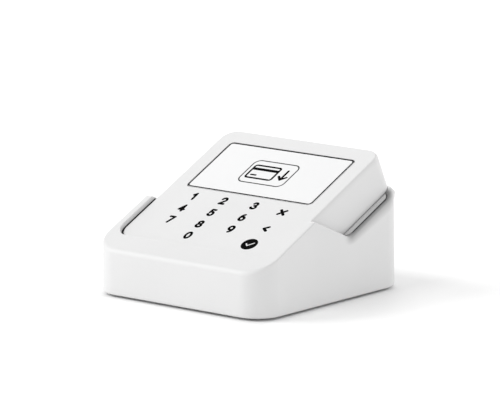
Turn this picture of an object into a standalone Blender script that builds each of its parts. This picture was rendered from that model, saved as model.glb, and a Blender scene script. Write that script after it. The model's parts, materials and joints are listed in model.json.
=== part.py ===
"""Card payment terminal: a square card reader seated in a wedge-shaped charging cradle.

Lengths are in millimetres in this file and become metres where vertices are made.
Origin: on the table, under the middle of the cradle. +X is the customer's right, +Y points
to the back and +Z up. The reader and the tray it sits in are modelled in a tilted frame whose
origin is the middle of the reader's face: x across, y up the face, z out of the face.
"""
import math

import bmesh
import bpy
from mathutils import Matrix, Vector

MM = 0.001

# ---------------------------------------------------------------- driving dimensions (mm)
TILT = math.radians(25.5)
FACE_CENTRE = (0.0, 0.13, 40.98)

READER_HALF_WIDTH = 42.0
READER_HALF_LENGTH = 40.6
READER_THICK = 23.0
READER_CORNER = 7.0
READER_FACE_ROUND = 1.2
READER_BELLY_ROUND = 8.0
READER_WALL = 2.0
FACE_THICK = 2.6
SPLIT = -17.3

LENS_HALF_WIDTH = 33.65
LENS_HALF_HEIGHT = 16.6
LENS_CENTRE_Y = 15.2
LENS_CORNER = 2.0
LENS_GAP = 0.35

CRADLE_HALF_WIDTH = 46.15
CRADLE_HALF_DEPTH = 47.8
CRADLE_FRONT_CORNER = 12.0
CRADLE_REAR_CORNER = 13.0
CRADLE_BOTTOM = 1.0
CRADLE_WALL = 2.0
DRAFT = 0.0105

LIP_PROUD = 1.6
LIP_THICK = 2.2
RIM_DROP = 16.5
LIP_END_Y = -12.7
RIM_START_Y = 9.1
REAR_TOP = 42.3
REAR_THICK = 1.8
SLOT_START = 3.0
SLOT_END = 34.2
SLOT_CORNER = 1.8
SLOT_REAR_CORNER = 3.6

FIT = 0.4
GAP = 0.3
TRAY_WALL_SIDE = 1.75
TRAY_WALL_END = 1.6
TRAY_FLOOR = 1.4
TRAY_BELLY_ROUND = 10.0
RIM_EDGE = 0.9

PLATE_THICK = 1.4
PIN_Y = 21.0
PIN_PITCH = 5.0
PIN_RADIUS = 0.7
PIN_WINDOW = (11.3, 3.3)
BOARD_THICK = 1.6
BOARD_TOP = -8.0
PART_TOP = BOARD_TOP - BOARD_THICK - 0.3

SCREEN_WINDOW = (30.5, 13.8)
SCREEN_HALF = (32.0, 15.5)
CARD_SLOT = (28.5, -13.8, -12.0)
CHARGE_OPENING = (4.4, -8.3, -4.5)
BUTTON_Y = 20.0
BUTTON_Z = -7.0
BUTTON_HALF = (4.5, 1.6)
BUTTON_TRAVEL_ROOM = 0.35

LENS_THICK = 1.0
LENS_POCKET = 1.8
GASKET_LEVELS = (-1.6, -1.2)
GASKET_WINDOW = (31.0, 14.3)
PANEL_LEVELS = (-4.3, -2.9)
BACKLIGHT_LEVELS = (-6.2, -4.6)
FILM_LEVELS = (-3.5, -2.9)
TOUCH_HALF = (30.5, 16.6)
TOUCH_Y = -21.4
COIL_OUTER = (37.5, 19.9)
COIL_INNER = (32.8, 15.9)
BOARD_HALF = (37.5, 36.2)
BOARD_CORNER = 3.0

COVER_BOSS_RADIUS = 2.6
COVER_BOSS_HOLE = 1.2
REAR_BOSS_RADIUS = 3.3
SCREW_WAY = 1.4
SCREW_WELL = 2.4
PIN_WELL = 2.2
PIN_WELL_TOP = -15.0
READER_SCREW = (1.9, 1.3, 0.95, 11.0)
BASE_SCREW = (2.1, 1.2, 0.9, 6.6)
BASE_SCREW_LOW = 1.1

SHIELD = ((-26.0, -34.0, -7.7), (4.0, -10.0, -4.2))
SHIELD_WALL = 0.6
RADIO_MODULE = ((10.0, -32.0, -7.7), (25.0, -14.0, -5.2))
POWER_SWITCH = ((-37.2, 17.8, -7.7), (-33.8, 22.2, -4.9))
BATTERY = ((-25.0, 1.0, -15.6), (25.0, 32.0, PART_TOP))
CONNECTOR = ((-29.8, -38.2, -15.4), (29.8, -2.0, PART_TOP))
CARD_CHANNEL = ((-27.5, -45.0, -13.6), (27.5, -8.0, -12.2))
COIN_CELL = (3.4, -31.0, 10.0, -12.0, PART_TOP)
BUZZER = (4.5, 31.5, 10.0, -12.6, PART_TOP)
PAD_RADIUS = 1.9
PAD_THICK = 1.9

SOCKET_WALL = 0.4
TONGUE_MARGIN = 1.3
TONGUE_HALF = 0.3
READER_SOCKET = (3.9, 33.2, 40.0, -7.7, -4.9)
CRADLE_INLET = (4.6, 37.5, 46.4, 4.7, 8.1)
INLET_OPENING = ((-6.0, 40.0, 3.4), (6.0, 60.0, 9.2))

RING_RADIUS = 4.2
RING_TOP = 4.0
PLATE_SCREW_WELL = (2.5, 2.6)
PLATE_SCREW_WAY = 1.3
TRAY_BOSS_RADIUS = 3.0
TRAY_BOSS_LOW = 4.3
TRAY_PILOT = (1.05, 8.2)
FOOT_RADIUS = 5.0
FOOT_HEIGHT = 1.2
FOOT_RECESS = 0.5
BALLAST = ((-31.0, -2.0), (31.0, 26.0), 6.4)

HOUSING_HALF = (11.0, 3.0)
HOUSING_FLANGE = (13.5, 5.5)
HOUSING_LOW = -27.1
HOUSING_TOP = -24.4
PIN_LENGTH = 2.7
PIN_WAY_GAP = 0.2
CONTACT_BOARD = (14.0, 10.0)
CONTACT_BOARD_TOP = -27.4
INLET_BOARD = (13.0, 8.5)
INLET_BOARD_Y = 36.0
CABLE_THICK = 0.8
CABLE_HALF_WIDTH = 4.0
FAR = 60.0

CORNER_STEPS = 6
FILLET_STEPS = 4

# ---------------------------------------------------------------- derived sizes (mm)
READER_BOTTOM = -READER_THICK
SCREW_SEAT = READER_BOTTOM + 3.6
TRAY_INNER_WIDTH = READER_HALF_WIDTH + FIT
TRAY_INNER_LENGTH = READER_HALF_LENGTH + FIT
TRAY_OUTER_WIDTH = TRAY_INNER_WIDTH + TRAY_WALL_SIDE
TRAY_OUTER_LENGTH = TRAY_INNER_LENGTH + TRAY_WALL_END
TRAY_TOP = -RIM_DROP
TRAY_FLOOR_TOP = READER_BOTTOM - GAP
TRAY_REAR_TOP = REAR_TOP - REAR_THICK - GAP
TRAY_STEP = TRAY_TOP - 2.3
TRAY_BOTTOM = TRAY_FLOOR_TOP - TRAY_FLOOR
TRAY_CORNER = READER_CORNER + FIT + TRAY_WALL_SIDE
PLATE_TOP = CRADLE_BOTTOM + PLATE_THICK
PIN_PLACES = [(PIN_PITCH * (i - 1.5), PIN_Y) for i in range(4)]
READER_SCREWS = [(-29.5, 36.3), (29.5, 36.3), (-34.3, -30.0), (34.3, -30.0)]
BASE_SCREWS = [(-36.0, -10.0), (36.0, -10.0), (-36.0, 26.0), (36.0, 26.0)]
FEET = [(-34.0, -37.0), (34.0, -37.0), (-34.0, 37.5), (34.0, 37.5)]

# ---------------------------------------------------------------- scene and materials
for old in list(bpy.data.objects):
    bpy.data.objects.remove(old, do_unlink=True)

PARTS = bpy.data.collections.new("card_payment_terminal")
CUTTERS = bpy.data.collections.new("cutters")
bpy.context.scene.collection.children.link(PARTS)
bpy.context.scene.collection.children.link(CUTTERS)

FINISHES = {
    "white_plastic": ((0.86, 0.86, 0.86), 0.45, 0.0),
    "lens": ((0.93, 0.93, 0.93), 0.15, 0.0),
    "grey_plastic": ((0.42, 0.42, 0.42), 0.5, 0.0),
    "black_plastic": ((0.03, 0.03, 0.03), 0.5, 0.0),
    "rubber": ((0.05, 0.05, 0.05), 0.85, 0.0),
    "steel": ((0.6, 0.6, 0.6), 0.35, 1.0),
    "gold": ((0.9, 0.68, 0.3), 0.25, 1.0),
    "circuit_board": ((0.02, 0.16, 0.07), 0.4, 0.0),
    "foil": ((0.7, 0.7, 0.72), 0.3, 1.0),
    "copper": ((0.85, 0.45, 0.25), 0.3, 1.0),
}


def material(finish):
    """A Principled material for a finish, made once."""
    found = bpy.data.materials.get(finish)
    if found:
        return found
    colour, roughness, metallic = FINISHES[finish]
    made = bpy.data.materials.new(finish)
    made.use_nodes = True
    shader = made.node_tree.nodes["Principled BSDF"]
    shader.inputs["Base Color"].default_value = (*colour, 1.0)
    shader.inputs["Roughness"].default_value = roughness
    shader.inputs["Metallic"].default_value = metallic
    return made


def tilted_frame(name, place):
    """An empty turned to the reader's tilt, at a place in the tilted frame."""
    empty = bpy.data.objects.new(name, None)
    empty.matrix_world = FACE_FRAME @ Matrix.Translation(Vector(place) * MM)
    PARTS.objects.link(empty)
    return empty


FACE_FRAME = Matrix.Translation(Vector(FACE_CENTRE) * MM) @ Matrix.Rotation(TILT, 4, "X")


# ---------------------------------------------------------------- shape helpers
def outline(half_x, half_y, radius, rear_radius=None, inset=0.0, centre=(0.0, 0.0)):
    """A rounded rectangle pulled in by inset, anticlockwise, front corners first."""
    rear_radius = radius if rear_radius is None else rear_radius
    corners = [(1, -1, radius), (1, 1, rear_radius), (-1, 1, rear_radius), (-1, -1, radius)]
    points = []
    for index, (side, end, full) in enumerate(corners):
        bend = max(full - inset, 0.01)
        x = centre[0] + side * (half_x - inset - bend)
        y = centre[1] + end * (half_y - inset - bend)
        for step in range(CORNER_STEPS + 1):
            angle = math.radians(90 * (index - 1 + step / CORNER_STEPS))
            points.append((x + bend * math.cos(angle), y + bend * math.sin(angle)))
    return points


def add_loft(bm, rings):
    """A closed solid through rings of points, given from the bottom to the top."""
    loops = [[bm.verts.new(Vector(point) * MM) for point in ring] for ring in rings]
    count = len(loops[0])
    for low, high in zip(loops, loops[1:]):
        for i in range(count):
            j = (i + 1) % count
            bm.faces.new((low[i], low[j], high[j], high[i]))
    bm.faces.new(reversed(loops[0]))
    bm.faces.new(loops[-1])


def add_plate(bm, half_x, half_y, radius, low, high, **shape):
    """A flat plate with rounded corners between two heights."""
    points = outline(half_x, half_y, radius, **shape)
    add_loft(bm, [[(x, y, z) for x, y in points] for z in (low, high)])


def add_pillow(bm, half_x, half_y, radius, low, high, low_round, high_round=0.0):
    """A rounded block whose lower and upper edges are rounded off by their own radii.

    A lower round taller than the block is cut off where the block ends.
    """
    straight = high - high_round - low
    low_end = math.acos(max(0.0, 1.0 - straight / low_round))
    side_inset = low_round * (1 - math.sin(low_end))
    levels = []
    for step in range(FILLET_STEPS + 1):
        angle = low_end * step / FILLET_STEPS
        levels.append((low + low_round * (1 - math.cos(angle)), low_round * (1 - math.sin(angle))))
    if high_round or straight > low_round:
        for step in range(FILLET_STEPS if high_round else 0, -1, -1):
            angle = math.pi / 2 * step / FILLET_STEPS
            drop = high_round * (1 - math.cos(angle))
            levels.append((high - drop, side_inset + high_round * (1 - math.sin(angle))))
    rings = []
    for z, inset in levels:
        ring = [(x, y, z) for x, y in outline(half_x, half_y, radius, inset=inset)]
        if not rings or z - rings[-1][0][2] > 0.001:
            rings.append(ring)
    add_loft(bm, rings)


def add_box(bm, low, high):
    """A box between two corners."""
    low, high = Vector(low), Vector(high)
    size = (high - low) * MM
    place = Matrix.Translation((high + low) / 2 * MM) @ Matrix.Diagonal((*size, 1.0))
    bmesh.ops.create_cube(bm, size=1.0, matrix=place)


def add_rod(bm, radius, x, y, low, high, segments=20):
    """An upright cylinder between two heights."""
    place = Matrix.Translation(Vector((x, y, (low + high) / 2)) * MM)
    bmesh.ops.create_cone(bm, cap_ends=True, segments=segments, radius1=radius * MM,
                          radius2=radius * MM, depth=(high - low) * MM, matrix=place)


def finished(name, bm, collection, parent=None, place=(0.0, 0.0, 0.0)):
    """Turns a bmesh into an object in a collection."""
    bmesh.ops.recalc_face_normals(bm, faces=bm.faces)
    mesh = bpy.data.meshes.new(name)
    bm.to_mesh(mesh)
    bm.free()
    made = bpy.data.objects.new(name, mesh)
    collection.objects.link(made)
    made.parent = parent
    made.location = Vector(place) * MM
    return made


def part(name, bm, finish, parent=None, place=(0.0, 0.0, 0.0)):
    """One sub-part of the terminal."""
    made = finished(name, bm, PARTS, parent, place)
    made.data.materials.append(material(finish))
    made.data.shade_smooth()
    made.data.set_sharp_from_angle(angle=math.radians(35))
    return made


def cutter(name, bm, parent=None):
    """A helper shape, kept out of the terminal itself."""
    made = finished(name, bm, CUTTERS, parent)
    made.hide_render = True
    made.display_type = "WIRE"
    return made


def boolean(target, tool, operation="DIFFERENCE"):
    """Cuts, joins or intersects target with tool."""
    step = target.modifiers.new(tool.name, "BOOLEAN")
    step.operation = operation
    step.object = tool
    step.solver = "EXACT"


def rounded_edges(target, width, segments=2, limit=35.0):
    """Rounds the edges sharper than a limit, in degrees."""
    step = target.modifiers.new("rounded_edges", "BEVEL")
    step.width = width * MM
    step.segments = segments
    step.limit_method = "ANGLE"
    step.angle_limit = math.radians(limit)


def simple_block(name, low, high, finish, parent, edge=0.0):
    """A box-shaped part, its edges rounded if edge is given."""
    bm = bmesh.new()
    add_box(bm, low, high)
    made = part(name, bm, finish, parent)
    if edge:
        rounded_edges(made, edge)
    return made


def simple_plate(name, half_x, half_y, radius, low, high, finish, parent, centre=(0.0, 0.0)):
    """A flat part with rounded corners."""
    bm = bmesh.new()
    add_plate(bm, half_x, half_y, radius, low, high, centre=centre)
    return part(name, bm, finish, parent)


def simple_disc(name, radius, x, y, low, high, finish, parent, edge=0.0):
    """A round flat part."""
    bm = bmesh.new()
    add_rod(bm, radius, x, y, low, high, segments=24)
    made = part(name, bm, finish, parent)
    if edge:
        rounded_edges(made, edge)
    return made


def turned_screw(name, head_radius, head_height, shank_radius, length, parent, place):
    """A screw, head down: a turned profile with a cross recess in its head."""
    profile = [
        (0.0, length),
        (shank_radius * 0.5, length),
        (shank_radius, length - shank_radius * 0.6),
        (shank_radius, head_height),
        (head_radius, head_height),
        (head_radius, 0.25),
        (head_radius - 0.25, 0.0),
        (0.0, 0.0),
    ]
    bm = bmesh.new()
    verts = [bm.verts.new((x * MM, 0.0, z * MM)) for x, z in profile]
    for first, second in zip(verts, verts[1:]):
        bm.edges.new((first, second))
    mesh = bpy.data.meshes.new(name)
    bm.to_mesh(mesh)
    bm.free()
    screw = bpy.data.objects.new(name, mesh)
    PARTS.objects.link(screw)
    screw.parent = parent
    screw.location = Vector(place) * MM
    screw.data.materials.append(material("steel"))
    turn = screw.modifiers.new("turned", "SCREW")
    turn.steps = 16
    turn.render_steps = 16
    turn.use_merge_vertices = True
    turn.merge_threshold = 0.00001
    reach = head_radius * 0.6
    bm = bmesh.new()
    add_box(bm, (-reach, -0.25, -1.0), (reach, 0.25, head_height * 0.6))
    add_box(bm, (-0.25, -reach, -1.1), (0.25, reach, head_height * 0.55))
    cross = finished(name + "_cross", bm, CUTTERS, parent, place)
    cross.hide_render = True
    cross.display_type = "WIRE"
    boolean(screw, cross)
    screw.modifiers[-1].use_self = True
    return screw


# ---------------------------------------------------------------- reader casing
def reader_body(bm):
    """The reader's outer form: soft edge round the face, deeper round underneath."""
    add_pillow(bm, READER_HALF_WIDTH, READER_HALF_LENGTH, READER_CORNER, READER_BOTTOM, 0.0,
               READER_BELLY_ROUND, READER_FACE_ROUND)


def lens_recess(bm):
    """Pocket for the display lens and the window behind it."""
    add_plate(bm, LENS_HALF_WIDTH + LENS_GAP, LENS_HALF_HEIGHT + LENS_GAP, LENS_CORNER + LENS_GAP,
              -LENS_POCKET, 1.0, centre=(0.0, LENS_CENTRE_Y))


def display_window(bm):
    """Opening under the lens that the display shows through."""
    add_plate(bm, *SCREEN_WINDOW, 1.0, -4.0, -1.0, centre=(0.0, LENS_CENTRE_Y))


def front_cover(frame):
    """Seamless face and sides, with the screw bosses inside."""
    bm = bmesh.new()
    reader_body(bm)
    cover = part("front_cover", bm, "white_plastic", frame)

    bm = bmesh.new()
    add_plate(bm, FAR, FAR, 1.0, -FAR, SPLIT)
    boolean(cover, cutter("cut_below_split", bm, frame))

    bm = bmesh.new()
    add_plate(bm, READER_HALF_WIDTH - READER_WALL, READER_HALF_LENGTH - READER_WALL,
              READER_CORNER - READER_WALL, -FAR, -FACE_THICK)
    boolean(cover, cutter("cut_reader_inside", bm, frame))

    bm = bmesh.new()
    for x, y in READER_SCREWS:
        add_rod(bm, COVER_BOSS_RADIUS, x, y, SPLIT, -FACE_THICK + 0.8)
    boolean(cover, cutter("join_cover_bosses", bm, frame), "UNION")

    bm = bmesh.new()
    for x, y in READER_SCREWS:
        add_rod(bm, COVER_BOSS_HOLE, x, y, SPLIT - 1.0, BOARD_TOP - 1.0, segments=14)
    boolean(cover, cutter("cut_boss_holes", bm, frame))

    for shape, name in ((lens_recess, "cut_lens_recess"), (display_window, "cut_display_window")):
        bm = bmesh.new()
        shape(bm)
        boolean(cover, cutter(name, bm, frame))

    slot_x, slot_low, slot_high = CARD_SLOT
    charge_x, charge_low, charge_high = CHARGE_OPENING
    button_y, button_z = (half + BUTTON_TRAVEL_ROOM for half in BUTTON_HALF)
    bm = bmesh.new()
    add_box(bm, (-slot_x, -FAR, slot_low), (slot_x, -35.0, slot_high))
    add_box(bm, (-charge_x, 35.0, charge_low), (charge_x, FAR, charge_high))
    add_box(bm, (-FAR, BUTTON_Y - button_y, BUTTON_Z - button_z),
            (-36.0, BUTTON_Y + button_y, BUTTON_Z + button_z))
    boolean(cover, cutter("cut_cover_openings", bm, frame))


def rear_cover(frame):
    """Rounded underside with screw bosses and openings for the charging contacts."""
    bm = bmesh.new()
    reader_body(bm)
    cover = part("rear_cover", bm, "white_plastic", frame)

    bm = bmesh.new()
    add_plate(bm, FAR, FAR, 1.0, SPLIT - GAP, FAR)
    boolean(cover, cutter("cut_above_split", bm, frame))

    bm = bmesh.new()
    add_pillow(bm, READER_HALF_WIDTH - READER_WALL, READER_HALF_LENGTH - READER_WALL,
               READER_CORNER - READER_WALL, READER_BOTTOM + 1.8, 0.0, 6.2)
    boolean(cover, cutter("cut_rear_inside", bm, frame))

    bm = bmesh.new()
    for x, y in READER_SCREWS:
        add_rod(bm, REAR_BOSS_RADIUS, x, y, READER_BOTTOM - 1.0, SPLIT - GAP)
    bosses = cutter("join_rear_bosses", bm, frame)
    bm = bmesh.new()
    reader_body(bm)
    boolean(bosses, cutter("keep_inside_belly", bm, frame), "INTERSECT")
    boolean(cover, bosses, "UNION")

    bm = bmesh.new()
    for x, y in READER_SCREWS:
        add_rod(bm, SCREW_WAY, x, y, -FAR, SPLIT + 1.0, segments=14)
    boolean(cover, cutter("cut_screw_ways", bm, frame))
    bm = bmesh.new()
    for x, y in READER_SCREWS:
        add_rod(bm, SCREW_WELL, x, y, -FAR, SCREW_SEAT)
    for x, y in PIN_PLACES:
        add_rod(bm, PIN_WELL, x, y, -FAR, PIN_WELL_TOP)
    boolean(cover, cutter("cut_counterbores", bm, frame))


# ---------------------------------------------------------------- reader contents
def display(frame):
    """Lens, gasket, panel and backlight, stacked behind the face."""
    middle = (0.0, LENS_CENTRE_Y)
    simple_plate("display_lens", LENS_HALF_WIDTH, LENS_HALF_HEIGHT, LENS_CORNER, -LENS_THICK, 0.0,
                 "lens", frame, middle)

    bm = bmesh.new()
    add_plate(bm, LENS_HALF_WIDTH, LENS_HALF_HEIGHT, LENS_CORNER, *GASKET_LEVELS, centre=middle)
    gasket = part("display_gasket", bm, "black_plastic", frame)
    bm = bmesh.new()
    add_plate(bm, *GASKET_WINDOW, 1.0, -5.0, 0.0, centre=middle)
    boolean(gasket, cutter("cut_gasket_window", bm, frame))

    simple_plate("lcd_panel", *SCREEN_HALF, 0.6, *PANEL_LEVELS, "black_plastic", frame, middle)
    simple_plate("backlight", *SCREEN_HALF, 0.6, *BACKLIGHT_LEVELS, "white_plastic", frame, middle)


def touch_sensor(frame):
    """Key sensing film under the keypad."""
    simple_plate("touch_sensor", *TOUCH_HALF, 2.0, *FILM_LEVELS, "copper", frame, (0.0, TOUCH_Y))


def antenna_coil(frame):
    """Flat coil carrier round the display, for cards held over it."""
    middle = (0.0, LENS_CENTRE_Y)
    bm = bmesh.new()
    add_plate(bm, *COIL_OUTER, BOARD_CORNER, *FILM_LEVELS, centre=middle)
    coil = part("antenna_coil", bm, "copper", frame)
    bm = bmesh.new()
    add_plate(bm, *COIL_INNER, 1.5, -6.0, 0.0, centre=middle)
    for x, y in READER_SCREWS[:2]:
        add_rod(bm, COVER_BOSS_RADIUS + GAP, x, y, -6.1, -1.0)
    boolean(coil, cutter("cut_coil_middle", bm, frame))
    coil.modifiers[-1].use_self = True


def main_board(frame):
    """Main circuit board, notched round the screw bosses."""
    bm = bmesh.new()
    add_plate(bm, *BOARD_HALF, BOARD_CORNER, BOARD_TOP - BOARD_THICK, BOARD_TOP)
    board = part("main_board", bm, "circuit_board", frame)
    bm = bmesh.new()
    for x, y in READER_SCREWS:
        add_rod(bm, REAR_BOSS_RADIUS + 0.4, x, y, BOARD_TOP - 4.0, BOARD_TOP + 3.0)
    boolean(board, cutter("cut_board_notches", bm, frame))


def board_parts(frame):
    """What sits on the main board, above and below it."""
    bm = bmesh.new()
    add_box(bm, *SHIELD)
    shield = part("security_shield", bm, "foil", frame)
    wall = Vector((SHIELD_WALL, SHIELD_WALL, SHIELD_WALL))
    low = Vector(SHIELD[0]) + wall
    low.z = BOARD_TOP - 1.0
    bm = bmesh.new()
    add_box(bm, low, Vector(SHIELD[1]) - wall)
    boolean(shield, cutter("cut_shield_inside", bm, frame))

    simple_block("radio_module", *RADIO_MODULE, "foil", frame, 0.3)
    simple_block("battery", *BATTERY, "foil", frame, 1.2)
    simple_disc("coin_cell", *COIN_CELL, "steel", frame, 0.3)
    simple_disc("buzzer", *BUZZER, "black_plastic", frame, 0.4)
    simple_block("power_switch", *POWER_SWITCH, "steel", frame, 0.2)


def card_connector(frame):
    """Chip card connector with its card channel open to the front."""
    bm = bmesh.new()
    add_box(bm, *CONNECTOR)
    connector = part("card_connector", bm, "black_plastic", frame)
    bm = bmesh.new()
    add_box(bm, *CARD_CHANNEL)
    boolean(connector, cutter("cut_card_channel", bm, frame))


def charging_socket(name, half_x, low_y, high_y, low_z, high_z, frame):
    """A charging socket: a metal sleeve open at its rear end, with a contact tongue inside."""
    bm = bmesh.new()
    add_box(bm, (-half_x, low_y, low_z), (half_x, high_y, high_z))
    socket = part(name, bm, "steel", frame)
    rounded_edges(socket, 0.5)
    bm = bmesh.new()
    add_box(bm, (SOCKET_WALL - half_x, low_y + 1.0, low_z + SOCKET_WALL),
            (half_x - SOCKET_WALL, high_y + 1.0, high_z - SOCKET_WALL))
    boolean(socket, cutter("cut_" + name, bm, frame))
    middle = (low_z + high_z) / 2
    bm = bmesh.new()
    add_box(bm, (TONGUE_MARGIN - half_x, low_y + 0.5, middle - TONGUE_HALF),
            (half_x - TONGUE_MARGIN, high_y - 0.8, middle + TONGUE_HALF))
    boolean(socket, cutter("join_" + name, bm, frame), "UNION")


def power_button(frame):
    """Push button in the reader's left side; it travels inwards."""
    place = (-READER_HALF_WIDTH, BUTTON_Y, BUTTON_Z)
    half_y, half_z = BUTTON_HALF
    bm = bmesh.new()
    add_box(bm, (-0.6, -half_y, -half_z), (3.0, half_y, half_z))
    button = part("power_button", bm, "grey_plastic", frame, place)
    rounded_edges(button, 0.4)
    bm = bmesh.new()
    add_box(bm, (2.3, -half_y - 0.9, -half_z - 0.9), (3.1, half_y + 0.9, half_z + 0.9))
    add_box(bm, (2.9, -0.8, -0.8), (4.0, 0.8, 0.8))
    flange = cutter("join_button_flange", bm, frame)
    flange.location = Vector(place) * MM
    boolean(button, flange, "UNION")
    button.modifiers[-1].use_self = True


def contact_pads(frame):
    """Gold charging pads set in the reader's underside."""
    for number, (x, y) in enumerate(PIN_PLACES, start=1):
        simple_disc(f"contact_pad_{number}", PAD_RADIUS, x, y, READER_BOTTOM,
                    READER_BOTTOM + PAD_THICK, "gold", frame)


def reader_screws(frame):
    """Cover screws, driven in from below."""
    for number, (x, y) in enumerate(READER_SCREWS, start=1):
        turned_screw(f"reader_screw_{number}", *READER_SCREW, frame, (x, y, SCREW_SEAT - 1.5))


# ---------------------------------------------------------------- cradle casing
def lip_height(y):
    """Height of the raised front lip's top at a depth y."""
    rise = (y - FACE_CENTRE[1]) * math.tan(TILT)
    return FACE_CENTRE[2] + rise + LIP_PROUD / math.cos(TILT)


def rim_height(y):
    """Height of the low rear rim's top at a depth y."""
    return lip_height(y) - (LIP_PROUD + RIM_DROP) / math.cos(TILT)


def across(bm, profile, half_width):
    """A solid with a side profile of (y, z) points, running across the cradle."""
    add_loft(bm, [[(x, y, z) for y, z in profile] for x in (-half_width, half_width)])


def drafted_block(bm, inset, low, high):
    """The cradle's footprint carried upwards, its walls leaning in by the draft."""
    rings = []
    for z in (low, high):
        points = outline(CRADLE_HALF_WIDTH, CRADLE_HALF_DEPTH, CRADLE_FRONT_CORNER,
                         CRADLE_REAR_CORNER, inset=inset + DRAFT * max(z, 0.0))
        rings.append([(x, y, z) for x, y in points])
    add_loft(bm, rings)


def row_depth(y, z):
    """Depth of a point of the tilted frame in the row's own frame."""
    return FACE_CENTRE[1] + y * math.cos(TILT) - z * math.sin(TILT)


def seat_space(bm, grow):
    """The space the seated reader takes, open along the way it lifts out."""
    add_pillow(bm, READER_HALF_WIDTH + grow, READER_HALF_LENGTH + grow, READER_CORNER + grow,
               TRAY_FLOOR_TOP, FAR, READER_BELLY_ROUND + grow)


def slot_space(bm, gap, low):
    """The long slot at each side in which the tray's rim shows."""
    half = (SLOT_END - SLOT_START) / 2 + gap
    add_plate(bm, TRAY_OUTER_WIDTH + GAP + gap, half, SLOT_CORNER + gap, low, FAR,
              centre=(0.0, (SLOT_END + SLOT_START) / 2), rear_radius=SLOT_REAR_CORNER + gap)


def rear_deck(name, gap, frame):
    """Everything above the tray's low rear part: a step behind the slots, then a level cut."""
    step_y = SLOT_START + 10.0
    bm = bmesh.new()
    add_box(bm, (-FAR, step_y, TRAY_STEP + gap), (FAR, FAR, FAR))
    deck = cutter(name, bm, frame)
    bm = bmesh.new()
    slot_space(bm, gap - GAP, -FAR)
    boolean(deck, cutter(name + "_slots", bm, frame))
    bm = bmesh.new()
    add_box(bm, (-FAR, row_depth(SLOT_END + 0.5, TRAY_TOP) + gap, TRAY_REAR_TOP + gap),
            (FAR, FAR, FAR))
    boolean(deck, cutter(name + "_level", bm), "UNION")
    return deck


def outer_shell(frame):
    """White wedge: raised lip in front, finger notches, low rim, level top at the rear."""
    bm = bmesh.new()
    drafted_block(bm, 0.0, CRADLE_BOTTOM, FAR)
    shell = part("outer_shell", bm, "white_plastic")

    level_y = RIM_START_Y + (REAR_TOP - rim_height(RIM_START_Y)) / math.tan(TILT)
    bm = bmesh.new()
    across(bm, [(-FAR, lip_height(-FAR)), (LIP_END_Y, lip_height(LIP_END_Y)),
                (RIM_START_Y, rim_height(RIM_START_Y)), (level_y, REAR_TOP),
                (FAR, REAR_TOP), (FAR, 2 * FAR), (-FAR, 2 * FAR)], FAR)
    boolean(shell, cutter("cut_side_profile", bm))

    bm = bmesh.new()
    seat_space(bm, FIT)
    boolean(shell, cutter("cut_reader_pocket", bm, frame))

    bm = bmesh.new()
    add_pillow(bm, TRAY_OUTER_WIDTH + GAP, TRAY_OUTER_LENGTH + GAP, TRAY_CORNER + GAP,
               TRAY_BOTTOM - GAP, TRAY_TOP + GAP, TRAY_BELLY_ROUND + GAP)
    tray_space = cutter("cut_tray_space", bm, frame)
    boolean(tray_space, rear_deck("keep_rear_deck", GAP, frame))
    boolean(shell, tray_space)

    bm = bmesh.new()
    slot_space(bm, 0.0, TRAY_TOP - 1.2)
    boolean(shell, cutter("cut_rim_slots", bm, frame))

    bm = bmesh.new()
    drafted_block(bm, CRADLE_WALL, -1.0, FAR)
    hollow = cutter("cut_shell_inside", bm)
    skirt = -TRAY_INNER_LENGTH - 2.2
    under_lip = LIP_PROUD - LIP_THICK
    low_y, low_z = 33.0, -19.5
    far_z = low_z - (2 * FAR - low_y) * math.tan(TILT)
    profile = [(-2 * FAR, under_lip), (skirt, under_lip), (skirt, TRAY_TOP + 1.0),
               (-20.0, TRAY_TOP + 1.0), (-20.0, low_z), (low_y, low_z), (2 * FAR, far_z),
               (2 * FAR, -3 * FAR), (-2 * FAR, -3 * FAR)]
    bm = bmesh.new()
    across(bm, profile, 80.0)
    boolean(hollow, cutter("keep_below_pocket", bm, frame), "INTERSECT")
    boolean(shell, hollow)

    bm = bmesh.new()
    add_box(bm, *INLET_OPENING)
    boolean(shell, cutter("cut_inlet_opening", bm))


def inner_tray(frame):
    """Grey tub that the reader sits in, standing on four screw bosses."""
    bm = bmesh.new()
    add_pillow(bm, TRAY_OUTER_WIDTH, TRAY_OUTER_LENGTH, TRAY_CORNER, TRAY_BOTTOM, TRAY_TOP,
               TRAY_BELLY_ROUND, RIM_EDGE)
    tray = part("inner_tray", bm, "grey_plastic", frame)
    bm = bmesh.new()
    for x, y in BASE_SCREWS:
        add_rod(bm, TRAY_BOSS_RADIUS, x, y, TRAY_BOSS_LOW, rim_height(y))
    boolean(tray, cutter("join_tray_bosses", bm), "UNION")
    bm = bmesh.new()
    seat_space(bm, FIT)
    boolean(tray, cutter("cut_tray_inside", bm, frame))
    boolean(tray, rear_deck("cut_tray_rear", 0.0, frame))
    half_x, half_y = PIN_WINDOW
    bm = bmesh.new()
    add_box(bm, (-half_x, PIN_Y - half_y, -FAR), (half_x, PIN_Y + half_y, -20.0))
    boolean(tray, cutter("cut_pin_window", bm, frame))
    pilot_radius, pilot_top = TRAY_PILOT
    bm = bmesh.new()
    for x, y in BASE_SCREWS:
        add_rod(bm, pilot_radius, x, y, 0.0, pilot_top, segments=14)
    boolean(tray, cutter("cut_tray_pilots", bm))


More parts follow.
